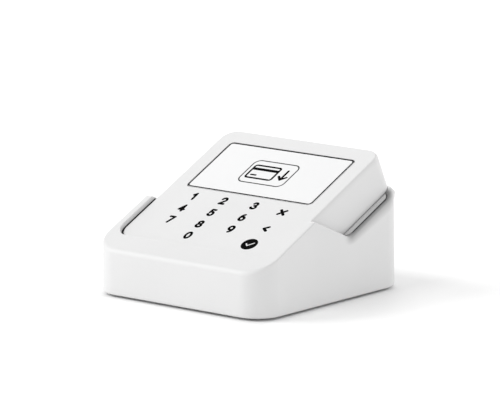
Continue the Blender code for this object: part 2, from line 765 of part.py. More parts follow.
def base_plate():
    """Bottom plate with recesses for the feet and raised rings round the screws."""
    half_x = CRADLE_HALF_WIDTH - CRADLE_WALL - GAP
    half_y = CRADLE_HALF_DEPTH - CRADLE_WALL - GAP
    bm = bmesh.new()
    add_plate(bm, half_x, half_y, CRADLE_FRONT_CORNER - CRADLE_WALL - GAP, CRADLE_BOTTOM, PLATE_TOP,
              rear_radius=CRADLE_REAR_CORNER - CRADLE_WALL - GAP)
    plate = part("base_plate", bm, "white_plastic")
    bm = bmesh.new()
    for x, y in BASE_SCREWS:
        add_rod(bm, RING_RADIUS, x, y, PLATE_TOP - 0.5, RING_TOP)
    boolean(plate, cutter("join_plate_rings", bm), "UNION")
    bm = bmesh.new()
    for x, y in BASE_SCREWS:
        add_rod(bm, PLATE_SCREW_WAY, x, y, 0.0, 6.0, segments=14)
    boolean(plate, cutter("cut_plate_ways", bm))
    well_radius, well_top = PLATE_SCREW_WELL
    bm = bmesh.new()
    for x, y in BASE_SCREWS:
        add_rod(bm, well_radius, x, y, 0.0, well_top)
    for x, y in FEET:
        add_rod(bm, FOOT_RADIUS + GAP, x, y, 0.0, CRADLE_BOTTOM + FOOT_RECESS, segments=24)
    boolean(plate, cutter("cut_plate_recesses", bm))


def feet():
    """Rubber feet set in the base plate."""
    for number, (x, y) in enumerate(FEET, start=1):
        simple_disc(f"foot_{number}", FOOT_RADIUS, x, y, 0.0, FOOT_HEIGHT, "rubber", None, 0.25)


def base_screws():
    """Screws that clamp the base plate, the shell and the tray together."""
    for number, (x, y) in enumerate(BASE_SCREWS, start=1):
        turned_screw(f"base_screw_{number}", *BASE_SCREW, None, (x, y, BASE_SCREW_LOW))


# ---------------------------------------------------------------- cradle contents
def ballast_plate():
    """Steel weight that keeps the cradle from tipping."""
    low, high, top = BALLAST
    simple_block("ballast_plate", (*low, PLATE_TOP + GAP), (*high, top), "steel", None, 0.5)


def pin_housing(frame):
    """Insulator that guides the charging pins, clipped under the tray's window."""
    half_x, half_y = HOUSING_HALF
    flange_x, flange_y = HOUSING_FLANGE
    bm = bmesh.new()
    add_box(bm, (-half_x, PIN_Y - half_y, HOUSING_LOW + 0.1), (half_x, PIN_Y + half_y, HOUSING_TOP))
    housing = part("pin_housing", bm, "black_plastic", frame)
    bm = bmesh.new()
    add_box(bm, (-flange_x, PIN_Y - flange_y, HOUSING_LOW),
            (flange_x, PIN_Y + flange_y, TRAY_BOTTOM - GAP))
    boolean(housing, cutter("join_housing_flange", bm, frame), "UNION")
    bm = bmesh.new()
    for x, y in PIN_PLACES:
        add_rod(bm, PIN_RADIUS + PIN_WAY_GAP, x, y, -30.0, -20.0, segments=16)
    boolean(housing, cutter("cut_pin_ways", bm, frame))


def contact_pins():
    """Sprung charging pins; each slides along the tilted frame's normal."""
    for number, (x, y) in enumerate(PIN_PLACES, start=1):
        pin_frame = tilted_frame(f"contact_pin_{number}_axis", (x, y, TRAY_FLOOR_TOP))
        bm = bmesh.new()
        add_rod(bm, PIN_RADIUS, 0.0, 0.0, -PIN_LENGTH, 0.0, segments=16)
        pin = part(f"contact_pin_{number}", bm, "gold", pin_frame)
        rounded_edges(pin, 0.3, segments=3)


def contact_board(frame):
    """Small board under the pins."""
    simple_plate("contact_board", *CONTACT_BOARD, 1.0, CONTACT_BOARD_TOP - BOARD_THICK,
                 CONTACT_BOARD_TOP, "circuit_board", frame, (0.0, PIN_Y))


def inlet_board():
    """Board that carries the charging inlet, on the base plate."""
    simple_plate("inlet_board", *INLET_BOARD, 1.0, PLATE_TOP + GAP,
                 PLATE_TOP + GAP + BOARD_THICK, "circuit_board", None, (0.0, INLET_BOARD_Y))


def jumper_cable():
    """Flat lead between the two boards: a bent strip, thick in the side view."""
    start = FACE_FRAME @ (Vector((0.0, PIN_Y - 4.0, CONTACT_BOARD_TOP - GAP - BOARD_THICK)) * MM) / MM
    route = [(start.y, start.z), (start.y + 1.2, start.z - 2.6), (start.y + 4.0, 17.0),
             (start.y + 5.2, 10.0), (33.0, PLATE_TOP + GAP + BOARD_THICK + GAP + 0.4)]
    back = [(y + CABLE_THICK, z + 0.15) for y, z in reversed(route)]
    bm = bmesh.new()
    across(bm, route + back, CABLE_HALF_WIDTH)
    part("jumper_cable", bm, "rubber")


# ---------------------------------------------------------------- assembly
def build():
    """Makes every sub-part."""
    reader = tilted_frame("reader_frame", (0.0, 0.0, 0.0))
    cradle = tilted_frame("tray_frame", (0.0, 0.0, 0.0))
    front_cover(reader)
    rear_cover(reader)
    display(reader)
    touch_sensor(reader)
    antenna_coil(reader)
    main_board(reader)
    board_parts(reader)
    card_connector(reader)
    charging_socket("reader_socket", *READER_SOCKET, reader)
    power_button(reader)
    contact_pads(reader)
    reader_screws(reader)
    outer_shell(cradle)
    inner_tray(cradle)
    base_plate()
    feet()
    base_screws()
    ballast_plate()
    pin_housing(cradle)
    contact_pins()
    contact_board(cradle)
    inlet_board()
    charging_socket("cradle_inlet", *CRADLE_INLET, None)
    jumper_cable()


build()
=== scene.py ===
"""Looks of the card payment terminal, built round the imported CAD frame.

Helpers work in millimetres. Pieces of the reader and the tray are made in the tilted face frame
(x across, y up the face, z out of the face), the rest in the row frame.
"""

import json
import math

import bmesh
import bpy
import numpy as np
from mathutils import Matrix, Vector


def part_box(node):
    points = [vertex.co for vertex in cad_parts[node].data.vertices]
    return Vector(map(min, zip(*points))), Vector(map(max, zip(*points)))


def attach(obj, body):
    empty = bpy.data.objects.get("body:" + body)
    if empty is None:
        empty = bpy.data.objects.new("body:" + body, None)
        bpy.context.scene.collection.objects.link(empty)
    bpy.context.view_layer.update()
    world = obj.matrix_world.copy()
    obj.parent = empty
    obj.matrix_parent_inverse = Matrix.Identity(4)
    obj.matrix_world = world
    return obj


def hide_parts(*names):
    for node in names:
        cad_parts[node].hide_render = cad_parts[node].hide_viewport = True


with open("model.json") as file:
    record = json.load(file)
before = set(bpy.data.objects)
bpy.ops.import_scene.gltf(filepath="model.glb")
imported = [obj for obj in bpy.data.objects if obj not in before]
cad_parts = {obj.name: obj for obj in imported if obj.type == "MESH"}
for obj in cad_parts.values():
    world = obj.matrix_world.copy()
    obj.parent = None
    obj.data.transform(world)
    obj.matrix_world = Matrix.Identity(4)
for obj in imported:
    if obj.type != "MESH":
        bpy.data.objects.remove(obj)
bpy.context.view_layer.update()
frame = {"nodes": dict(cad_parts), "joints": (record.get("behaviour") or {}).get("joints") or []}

MM = 0.001

# ---------------------------------------------------------------- the tilted face frame
LENS_CENTRE_Y = 15.2
lift = next(joint for joint in frame["joints"] if joint["name"] == "reader_lift")
OUT = Vector(lift["axis"]).normalized()
UP = Vector((0.0, OUT.z, -OUT.y))
TILT = math.atan2(-OUT.y, OUT.z)


def spread(node, axis):
    """Lowest and highest reach of a CAD node along a direction, in mm."""
    reach = [v.co.dot(axis) / MM for v in frame["nodes"][node].data.vertices]
    return min(reach), max(reach)


LENS_SPAN = spread("display_lens", UP)
ORIGIN = UP * (sum(LENS_SPAN) / 2 - LENS_CENTRE_Y) + OUT * spread("display_lens", OUT)[1]
FACE = Matrix((
    (1.0, 0.0, 0.0, 0.0),
    (0.0, UP.y, OUT.y, ORIGIN.y * MM),
    (0.0, UP.z, OUT.z, ORIGIN.z * MM),
    (0.0, 0.0, 0.0, 1.0),
))
WORLD = Matrix.Identity(4)


def face_span(node):
    """A CAD node's low and high corner in the face frame, in mm."""
    ends = [spread(node, axis) for axis in (Vector((1, 0, 0)), UP, OUT)]
    middle = (0.0, ORIGIN.dot(UP), ORIGIN.dot(OUT))
    return [Vector([end[i] - m for end, m in zip(ends, middle)]) for i in (0, 1)]


# ---------------------------------------------------------------- sizes (mm)
READER = face_span("front_cover")[1]
READER_BOTTOM = face_span("rear_cover")[0].z
READER_CORNER = 7.0
FACE_EDGE_ACROSS = 1.0
FACE_EDGE_DOWN = 2.4
READER_BELLY_ROUND = 8.0
READER_WALL = 2.0
FACE_THICK = 2.6
SPLIT = face_span("front_cover")[0].z
COVER_GAP = 0.3

LENS = face_span("display_lens")[1]
LENS_HALF_HEIGHT = (LENS_SPAN[1] - LENS_SPAN[0]) / 2
LENS_CORNER = 2.0
LENS_GAP = 0.35

FIT = 0.4
TRAY_WALL_SIDE = 1.75
TRAY_WALL_END = 1.6
POCKET_X = READER.x + FIT
POCKET_Y = READER.y + FIT
POCKET_CORNER = READER_CORNER + FIT
TRAY = Vector((POCKET_X + TRAY_WALL_SIDE, POCKET_Y + TRAY_WALL_END,
               face_span("inner_tray")[1].z))
TRAY_CORNER = POCKET_CORNER + TRAY_WALL_SIDE
TRAY_FLOOR = READER_BOTTOM - 0.3
TRAY_BELLY = TRAY_FLOOR - 1.4
SLOT_GAP = 0.48

SHELL_LOW, SHELL_HIGH = (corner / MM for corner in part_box("outer_shell"))
SHELL_FRONT_CORNER = 12.0
SHELL_REAR_CORNER = 13.0
SHELL_WALL = 2.0
DRAFT = 0.0105
LIP_PROUD = 1.6
LIP_END_Y = -12.7
RIM_START_Y = 9.1
SLOT_START = 3.0
SLOT_END = 34.2
SLOT_CORNER = 2.0
SLOT_REAR_CORNER = 3.8
REAR_TOP = 42.3
TRAY_REAR_TOP = 40.2

FAR = 60.0  # clear of everything, for tools that cut half of a piece away
FARTHER = 70.0
CORNER_STEPS = 24
ROUND_STEPS = 10
EDGE_STEPS = 4
SHARP_ANGLE = math.radians(32.0)


# ---------------------------------------------------------------- mesh helpers
def round_off(steps, turn=math.pi / 2):
    """Rise and remaining inset of an edge rounded to a radius of 1, from the flat to the wall."""
    angles = [turn * step / steps for step in range(steps + 1)]
    return [(1 - math.cos(angle), 1 - math.sin(angle)) for angle in angles]


def outline(half_x, half_y, radius, inset=0.0, centre=(0.0, 0.0), rear_radius=None):
    """A rounded rectangle pulled in by inset, anticlockwise from the front right corner."""
    rear = radius if rear_radius is None else rear_radius
    corners = [(1, -1, radius), (1, 1, rear), (-1, 1, rear), (-1, -1, radius)]
    points = []
    for index, (side, end, full) in enumerate(corners):
        bend = max(full - inset, 0.01)
        x = centre[0] + side * (half_x - inset - bend)
        y = centre[1] + end * (half_y - inset - bend)
        for step in range(CORNER_STEPS + 1):
            angle = math.radians(90 * (index - 1 + step / CORNER_STEPS))
            points.append((x + bend * math.cos(angle), y + bend * math.sin(angle)))
    return points


def level_ring(z, *sizes, **shape):
    """An outline at a height."""
    return [(x, y, z) for x, y in outline(*sizes, **shape)]


def add_loft(bm, rings, ring_closed=False):
    """Walls through rings of points; the ends are capped, or joined if ring_closed."""
    loops = [[bm.verts.new(Vector(point) * MM) for point in ring] for ring in rings]
    pairs = list(zip(loops, loops[1:]))
    if ring_closed:
        pairs.append((loops[-1], loops[0]))
    for low, high in pairs:
        for i in range(len(low)):
            j = (i + 1) % len(low)
            bm.faces.new((low[i], low[j], high[j], high[i]))
    if not ring_closed:
        bm.faces.new(reversed(loops[0]))
        bm.faces.new(loops[-1])


def add_plate(bm, half_x, half_y, radius, low, high, edge=0.0, **shape):
    """A flat plate with rounded corners and, if given, small rounded edges."""
    levels = [(low, 0.0), (high, 0.0)]
    if edge:
        turn = round_off(EDGE_STEPS)
        levels = [(low + edge * rise, edge * inset) for rise, inset in turn]
        levels += [(high - edge * rise, edge * inset) for rise, inset in reversed(turn)]
    add_loft(bm, [level_ring(z, half_x, half_y, radius, inset, **shape) for z, inset in levels])


def pillow_rings(half_x, half_y, radius, low, high, low_round, high_round=0.0, across=0.0):
    """Rings of a block whose lower and upper edges are rounded off.

    A lower round taller than the block is cut off where the block ends. The upper edge takes
    high_round of the side and across of the top.
    """
    straight = high - high_round - low
    low_end = math.acos(max(0.0, 1.0 - straight / low_round))
    side_inset = low_round * (1 - math.sin(low_end))
    levels = [(low + low_round * rise, low_round * inset)
              for rise, inset in round_off(ROUND_STEPS, low_end)]
    if high_round:
        levels += [(high - high_round * rise, side_inset + across * inset)
                   for rise, inset in reversed(round_off(ROUND_STEPS))]
    elif straight > low_round:
        levels.append((high, side_inset))
    rings = []
    for z, inset in levels:
        if not rings or z - rings[-1][0][2] > 0.001:
            rings.append(level_ring(z, half_x, half_y, radius, inset))
    return rings


def add_box(bm, low, high):
    """A box between two corners."""
    low, high = Vector(low), Vector(high)
    place = Matrix.Translation((high + low) / 2 * MM)
    place = place @ Matrix.Diagonal((*((high - low) * MM), 1.0))
    bmesh.ops.create_cube(bm, size=1.0, matrix=place)


def add_turned(bm, profile, places=((0.0, 0.0),), segments=48):
    """Solids of revolution about upright axes, from (radius, z) points, low to high."""
    turns = [2 * math.pi * step / segments for step in range(segments)]
    for x, y in places:
        add_loft(bm, [[(x + radius * math.cos(a), y + radius * math.sin(a), z) for a in turns]
                      for radius, z in profile])


def add_rods(bm, radius, places, low, high):
    """Upright cylinders."""
    add_turned(bm, [(radius, low), (radius, high)], places)


def new_object(name, fill, place=WORLD):
    """A mesh object of what fill draws, with its vertices already in the row frame."""
    bm = bmesh.new()
    fill(bm)
    bmesh.ops.recalc_face_normals(bm, faces=bm.faces)
    mesh = bpy.data.meshes.new(name)
    bm.to_mesh(mesh)
    bm.free()
    mesh.transform(place)
    made = bpy.data.objects.new(name, mesh)
    bpy.context.scene.collection.objects.link(made)
    return made


def combine(target, operation, fill, place=WORLD):
    """Cuts, joins or intersects target with the shapes that fill draws, and keeps the result."""
    tool = new_object("tool", fill, place)
    step = target.modifiers.new("step", "BOOLEAN")
    step.operation = operation
    step.object = tool
    step.solver = "EXACT"
    step.use_self = True
    bpy.context.view_layer.update()
    shown = target.evaluated_get(bpy.context.evaluated_depsgraph_get())
    mesh = bpy.data.meshes.new_from_object(shown)
    target.modifiers.clear()
    old = target.data
    target.data = mesh
    bpy.data.meshes.remove(old)
    bpy.data.objects.remove(tool)


def finish_piece(obj, material, body, slot, replaces=()):
    """Shades a piece, gives it its material and hangs it on its body."""
    obj.data.materials.clear()
    obj.data.materials.append(material)
    obj.data.shade_smooth()
    obj.data.set_sharp_from_angle(angle=SHARP_ANGLE)
    weights = obj.modifiers.new("face_weights", "WEIGHTED_NORMAL")
    weights.keep_sharp = True
    weights.weight = 50
    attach(obj, body)
    if replaces:
        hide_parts(*replaces)


def make_piece(name, fill, place, *finish):
    """A piece that is just what fill draws."""
    finish_piece(new_object(name, fill, place), *finish)


# ---------------------------------------------------------------- material helpers
def feed(tree, socket, value):
    """Gives a socket a link, a number, a colour or a vector."""
    if isinstance(value, bpy.types.NodeSocket):
        tree.links.new(value, socket)
    elif socket.type == "RGBA":
        socket.default_value = (*value, 1.0)
    else:
        socket.default_value = value


def add_node(tree, kind, inputs, **settings):
    """A shader node with its settings, and its inputs fed by name or number."""
    node = tree.nodes.new("ShaderNode" + kind)
    for name, value in settings.items():
        setattr(node, name, value)
    for name, value in inputs.items():
        feed(tree, node.inputs[name], value)
    return node


def shader_material(name, look):
    """A material with the shader inputs that look gives for a tree and object coordinates."""
    made = bpy.data.materials.new(name)
    made.use_nodes = True
    tree = made.node_tree
    coords = add_node(tree, "TexCoord", {}).outputs["Object"]
    shader = tree.nodes["Principled BSDF"]
    for socket, value in look(tree, coords).items():
        feed(tree, shader.inputs[socket], value)
    return made


def noise(tree, vector, scale, detail=3.0, rough=0.55):
    """Value of a noise with a scale given in repeats per metre."""
    return add_node(tree, "TexNoise", {"Vector": vector, "Scale": scale, "Detail": detail,
                                       "Roughness": rough}).outputs["Fac"]


def remap(tree, value, low, high, out_low, out_high):
    """A value carried from one range to another."""
    return add_node(tree, "MapRange", {"Value": value, "From Min": low, "From Max": high,
                                       "To Min": out_low, "To Max": out_high}).outputs["Result"]


def maths(tree, operation, first, second=0.0):
    """A Math node on two sockets or numbers."""
    return add_node(tree, "Math", {0: first, 1: second}, operation=operation).outputs[0]


def blend_colours(tree, factor, first, second):
    """Mixes two colours, each a socket or three numbers, by a factor socket."""
    return add_node(tree, "Mix", {"Factor": factor, "A": first, "B": second},
                    data_type="RGBA").outputs["Result"]


def bump(tree, layers):
    """The normal of stacked bump layers, each a (height, depth in metres) pair."""
    inputs = {"Strength": 1.0}
    for height, depth in layers:
        inputs.update({"Distance": depth, "Height": height})
        inputs["Normal"] = add_node(tree, "Bump", inputs).outputs["Normal"]
    return inputs["Normal"]


def moulded_plastic(name, colour, rough, grain=7000.0, depth=6e-6, spread_by=0.012, painted_shade=None):
    """Moulded plastic: fine spark-eroded grain, slow tone drift and faint flow marks.

    If a shade colour is given, it is painted in as shade where the unshaded share falls to 0.
    """
    def look(tree, coords):
        tone = maths(tree, "ADD", maths(tree, "MULTIPLY", noise(tree, coords, 38.0, 2.0), 0.7),
                     maths(tree, "MULTIPLY", noise(tree, coords, 2600.0, 2.0), 0.3))
        dark = tuple(c * (1 - spread_by) for c in colour)
        light = tuple(min(1.0, c * (1 + spread_by)) for c in colour)
        mixed = blend_colours(tree, remap(tree, tone, 0.3, 0.7, 0.0, 1.0), dark, light)
        # Painted shade: the colour is darkened to the given shade colour by the mesh's shade
        # attribute.
        if painted_shade:
            unshaded = add_node(tree, "Attribute", {}, attribute_name="unshaded").outputs["Fac"]
            mixed = blend_colours(tree, unshaded, painted_shade, mixed)
        return {
            "Base Color": mixed,
            "Roughness": remap(tree, noise(tree, coords, 900.0), 0.25, 0.75,
                               rough - 0.05, rough + 0.05),
            "Specular IOR Level": 0.5,
            "Normal": bump(tree, [(noise(tree, coords, 220.0, 1.0), 12e-6),
                                  (noise(tree, coords, grain, 3.0, 0.6), depth)]),
        }

    return shader_material(name, look)


def brushed_metal(name, colour, rough, direction=(60.0, 4000.0, 4000.0)):
    """Metal with fine drawn lines and a little tarnish."""
    def look(tree, coords):
        along = add_node(tree, "Mapping", {"Scale": direction, "Vector": coords})
        lines = noise(tree, along.outputs["Vector"], 1.0, 4.0, 0.65)
        tarnish = remap(tree, noise(tree, coords, 160.0, 3.0), 0.35, 0.75, 0.0, 0.6)
        return {
            "Base Color": blend_colours(tree, tarnish, colour, tuple(c * 0.82 for c in colour)),
            "Roughness": remap(tree, lines, 0.3, 0.7, rough - 0.08, rough + 0.1),
            "Metallic": 1.0,
            "Normal": bump(tree, [(lines, 3e-6), (noise(tree, coords, 1500.0), 2e-6)]),
        }

    return shader_material(name, look)


def rubber_look(tree, coords):
    """Black silicone rubber with a dusty, matt, finely pitted skin."""
    dust = remap(tree, noise(tree, coords, 420.0, 5.0, 0.7), 0.45, 0.8, 0.0, 1.0)
    return {
        "Base Color": blend_colours(tree, dust, (0.022, 0.022, 0.023), (0.06, 0.06, 0.058)),
        "Roughness": remap(tree, noise(tree, coords, 1800.0), 0.3, 0.7, 0.72, 0.9),
        "Normal": bump(tree, [(noise(tree, coords, 2400.0, 4.0, 0.7), 14e-6)]),
    }


def board_look(tree, coords):
    """Green solder mask over copper tracks, with a fibreglass weave below."""
    cells = add_node(tree, "TexVoronoi", {"Scale": 420.0, "Vector": coords},
                     distance="MANHATTAN", feature="DISTANCE_TO_EDGE")
    tracks = remap(tree, cells.outputs["Distance"], 0.05, 0.08, 1.0, 0.0)
    wave = add_node(tree, "TexWave", {"Scale": 900.0, "Vector": coords}).outputs["Fac"]
    weave = remap(tree, wave, 0.0, 1.0, 0.0, 0.35)
    base = blend_colours(tree, weave, (0.012, 0.12, 0.05), (0.02, 0.17, 0.075))
    return {
        "Base Color": blend_colours(tree, tracks, base, (0.05, 0.30, 0.12)),
        "Roughness": remap(tree, weave, 0.0, 0.35, 0.28, 0.4),
        "Coat Weight": 0.4,
        "Coat Roughness": 0.12,
        "Normal": bump(tree, [(tracks, 35e-6), (wave, 4e-6)]),
    }


def foil_look(tree, coords):
    """Crinkled metal foil wrap."""
    folds = add_node(tree, "TexVoronoi", {"Scale": 260.0, "Vector": coords}).outputs["Distance"]
    tint = remap(tree, noise(tree, coords, 300.0), 0.3, 0.7, 0.0, 1.0)
    return {
        "Base Color": blend_colours(tree, tint, (0.62, 0.62, 0.64), (0.76, 0.76, 0.78)),
        "Metallic": 1.0,
        "Roughness": remap(tree, tint, 0.0, 1.0, 0.22, 0.38),
        "Normal": bump(tree, [(folds, 30e-6), (noise(tree, coords, 900.0), 12e-6)]),
    }


def display_look(tree, coords):
    """Clear hard lens over a white, evenly lit display, with a faint pixel grid."""
    grid = add_node(tree, "TexWave", {"Scale": 1200.0, "Vector": coords}, bands_direction="X")
    tone = maths(tree, "ADD", maths(tree, "MULTIPLY", noise(tree, coords, 60.0, 1.0), 0.8),
                 maths(tree, "MULTIPLY", grid.outputs["Fac"], 0.2))
    return {
        "Base Color": blend_colours(tree, tone, (0.84, 0.845, 0.85), (0.87, 0.87, 0.87)),
        "Roughness": remap(tree, noise(tree, coords, 500.0), 0.3, 0.7, 0.14, 0.2),
        "Emission Color": (1.0, 1.0, 1.0),
        "Emission Strength": DISPLAY_GLOW,
        "Coat Weight": 0.5,
        "Coat Roughness": 0.05,
        "Normal": bump(tree, [(noise(tree, coords, 150.0, 1.0), 3e-6)]),
    }


def ink_material(name, colour, rough=0.55):
    """Screen-printed ink: slightly uneven film with fine pinholes."""
    def look(tree, coords):
        film = noise(tree, coords, 3200.0, 4.0, 0.7)
        lighter = tuple(c * 1.6 + 0.004 for c in colour)
        return {
            "Base Color": blend_colours(tree, remap(tree, film, 0.5, 0.8, 0.0, 1.0),
                                        colour, lighter),
            "Roughness": remap(tree, film, 0.3, 0.7, rough - 0.06, rough + 0.08),
            "Specular IOR Level": 0.0,
            "Normal": bump(tree, [(film, 4e-6)]),
        }

    return shader_material(name, look)


# ---------------------------------------------------------------- materials
DISPLAY_GLOW = 0.06
# The shell's white carries painted shade near the slots, for the shadow by the tray's seam.
WHITE = moulded_plastic("white_shell_plastic", (0.78, 0.78, 0.78), 0.46, painted_shade=(0.2, 0.2, 0.2))
PLAIN_WHITE = moulded_plastic("white_plain_plastic", (0.78, 0.78, 0.78), 0.46)
READER_WHITE = moulded_plastic("white_reader_plastic", (0.79, 0.79, 0.79), 0.42)
GREY = moulded_plastic("grey_tray_plastic", (0.62, 0.62, 0.62), 0.5, 5200.0, 9e-6, 0.03)
BLACK = moulded_plastic("black_plastic_fine", (0.028, 0.028, 0.029), 0.48, 6000.0, 9e-6, 0.12)
BUTTON_GREY = moulded_plastic("grey_button_plastic", (0.5, 0.5, 0.5), 0.4, 8000.0, 5e-6, 0.02)
STEEL = brushed_metal("steel_plated", (0.62, 0.61, 0.6), 0.3)
GOLD = brushed_metal("gold_plated", (0.92, 0.68, 0.32), 0.22, (2500.0, 2500.0, 200.0))
COPPER = brushed_metal("copper_film", (0.78, 0.42, 0.26), 0.34, (900.0, 900.0, 900.0))
RUBBER = shader_material("rubber_matt", rubber_look)
BOARD = shader_material("circuit_board_mask", board_look)
FOIL = shader_material("foil_wrap", foil_look)
DISPLAY = shader_material("display_white", display_look)
INK = ink_material("ink_black", (0.005, 0.005, 0.005))
FINE_INK = ink_material("ink_grey", (0.05, 0.05, 0.052))
BORDER_INK = ink_material("ink_border", (0.008, 0.008, 0.008), 0.5)


# ---------------------------------------------------------------- cradle shell
TAN = math.tan(TILT)
COS = math.cos(TILT)
LIP_EDGE = 0.75
FRONT_EDGE = 1.9
RIM_EDGE = 2.2
BACK_EDGE = 2.0
INNER_EDGE = 0.35
SEAM_EDGE = 0.4
# reach of the painted shade beside the slots, mm
PAINTED_SHADE_REACH = 4.6
REAR_BLEND = 1.0
REAR_THICK = 1.3
REAR_CORNER_STEPS = 80
SNUG = 0.25
FOOT_EDGE = 1.0
CREASE_BLEND = 0.8
NOTCH_BLEND = 0.9
LEDGE_MIN = 0.7  # least thickness of the shell's inner edge
TRAY_CLEAR = 0.25  # least room between that edge and the tray behind it
LEDGE_HEIGHT = 2.3
LEDGE_FALL = 2.5
INSIDE_LOW = 4.0
FINE_STATIONS = 0.16
FOOT_ROWS = 3
ARC_ROWS = 9
FLAT_ROWS = 4
SEAM_ROWS = 5
WALL_ROWS = 8
INLET_HALF = (5.0, 2.1)
INLET_CORNER = 1.9
INLET_HEIGHT = 6.4
INLET_FLARE = ((44.0, 0.0), (46.9, 0.0), (47.35, 0.12), (47.7, 0.5), (49.5, 1.2))


def face_height(y):
    """Height of the face plane at a depth y."""
    return ORIGIN.z + (y - ORIGIN.y) * TAN


def lip_height(y):
    """Height of the raised front lip at a depth y."""
    return face_height(y) + LIP_PROUD / COS


def rim_height(y):
    """Height of the low rear rim at a depth y."""
    return face_height(y) + TRAY.z / COS


def smooth_min(a, b, width):
    """The lower of two heights with a rounded crossing."""
    share = min(1.0, max(0.0, 0.5 + 0.5 * (b - a) / width))
    return b + (a - b) * share - width * share * (1 - share)


def top_height(y):
    """The shell's top line seen from the side: lip, notch, low rim."""
    start, end = lip_height(LIP_END_Y), rim_height(RIM_START_Y)
    slope = start + (end - start) * (y - LIP_END_Y) / (RIM_START_Y - LIP_END_Y)
    low = -smooth_min(-slope, -rim_height(y), NOTCH_BLEND)
    return smooth_min(smooth_min(lip_height(y), low, CREASE_BLEND), REAR_TOP, REAR_BLEND)


def ease(low, high, value):
    """A smooth step from 0 at low to 1 at high."""
    share = min(1.0, max(0.0, (value - low) / (high - low)))
    return share * share * (3 - 2 * share)


def to_face(point):
    """A row-frame point in mm as face-frame coordinates."""
    offset = Vector(point) - ORIGIN
    return Vector((offset.x, offset.dot(UP), offset.dot(OUT)))


def box_distance(x, y, half_x, half_y, radius, centre_y=0.0):
    """Signed distance to a rounded rectangle, negative inside."""
    dx = abs(x) - half_x + radius
    dy = abs(y - centre_y) - half_y + radius
    outside = math.hypot(max(dx, 0.0), max(dy, 0.0))
    return outside + min(max(dx, dy), 0.0) - radius


def slot_distance(local):
    """Signed distance to the slots in which the tray's rim shows."""
    half = (SLOT_END - SLOT_START) / 2
    middle = SLOT_START + half
    corner = SLOT_REAR_CORNER if local.y > middle else SLOT_CORNER
    return box_distance(local.x, local.y, TRAY.x + SLOT_GAP, half, corner, middle)


def opening_distance(local):
    """Signed distance to everything that is open in the shell's top."""
    bend = READER_BELLY_ROUND + FIT
    fall = min(bend, max(0.0, TRAY_FLOOR + bend - local.z))
    inset = bend - math.sqrt(bend * bend - fall * fall)
    inset += SNUG * ease(SLOT_END - 3.0, SLOT_END, local.y)
    pocket = box_distance(local.x, local.y, POCKET_X - inset, POCKET_Y - inset,
                          max(POCKET_CORNER - inset, 0.5))
    return min(pocket, slot_distance(local))


def shell_stations():
    """Places round the shell's outline, each a base point and its outward normal."""
    half_x, half_y = SHELL_HIGH.x, SHELL_HIGH.y
    front, rear = SHELL_FRONT_CORNER, SHELL_REAR_CORNER
    runs = ((front - half_y + 1.0, half_y - rear, 1.0),
            (LIP_END_Y - 2.0, LIP_END_Y + 2.0, FINE_STATIONS),
            (RIM_START_Y - 1.6, RIM_START_Y + 6.0, FINE_STATIONS),
            (half_y - rear - 3.0, half_y - rear, 0.3))
    depths = sorted({round(float(y), 2) for run in runs for y in np.arange(*run)})
    widths = np.arange(rear - half_x + 2.0, half_x - rear - 1.0, 2.2)
    stations = []

    def corner(side, end, radius, first, steps=CORNER_STEPS):
        for step in range(steps + 1):
            angle = math.radians(first + 90 * step / steps)
            normal = Vector((math.cos(angle), math.sin(angle), 0.0))
            middle = Vector((side * (half_x - radius), end * (half_y - radius), 0.0))
            stations.append((middle + normal * radius, normal))

    def straight(points, normal):
        stations.extend((Vector((x, y, 0.0)), Vector(normal)) for x, y in points)

    corner(1, -1, front, -90)
    straight([(half_x, y) for y in depths], (1, 0, 0))
    corner(1, 1, rear, 0, REAR_CORNER_STEPS)
    straight([(x, half_y) for x in reversed(widths)], (0, 1, 0))
    corner(-1, 1, rear, 90, REAR_CORNER_STEPS)
    straight([(-half_x, y) for y in reversed(depths)], (-1, 0, 0))
    corner(-1, -1, front, 180)
    straight([(x, -half_y) for x in widths], (0, -1, 0))
    return stations


def wall_point(base, normal, inset, z):
    """A point on the drafted wall, pulled in by inset."""
    point = base - normal * (inset + DRAFT * z)
    return Vector((point.x, point.y, z))


def top_point(base, normal, inset, drop):
    """A point at a depth below the shell's top, pulled in from the wall by inset."""
    z = top_height(base.y)
    for _ in range(3):
        point = wall_point(base, normal, inset, z)
        z = top_height(point.y)
    return Vector((point.x, point.y, z - drop))


def top_width(base, normal):
    """Distance from the wall to the opening in the shell's top."""
    def is_solid(inset):
        return opening_distance(to_face(top_point(base, normal, inset, 0.0))) > 0

    far, step = 0.4, 0.25
    while far < 16.0 and is_solid(far):
        far += step
    near = far - step
    for _ in range(18):
        middle = (near + far) / 2
        if is_solid(middle):
            near = middle
        else:
            far = middle
    return far


def rim_share(y, end=4.5):
    """0 along the lip, easing to 1 by end mm behind the low rim's start."""
    return ease(RIM_START_Y - 0.5, RIM_START_Y + end, y)


def edge_round(base, normal):
    """Radius of the shell's outer top edge at a station."""
    radius = LIP_EDGE + (RIM_EDGE - LIP_EDGE) * rim_share(base.y)
    radius += (BACK_EDGE - radius) * ease(0.35, 0.95, normal.y)
    return radius + (FRONT_EDGE - radius) * ease(0.5, 1.0, -normal.y)


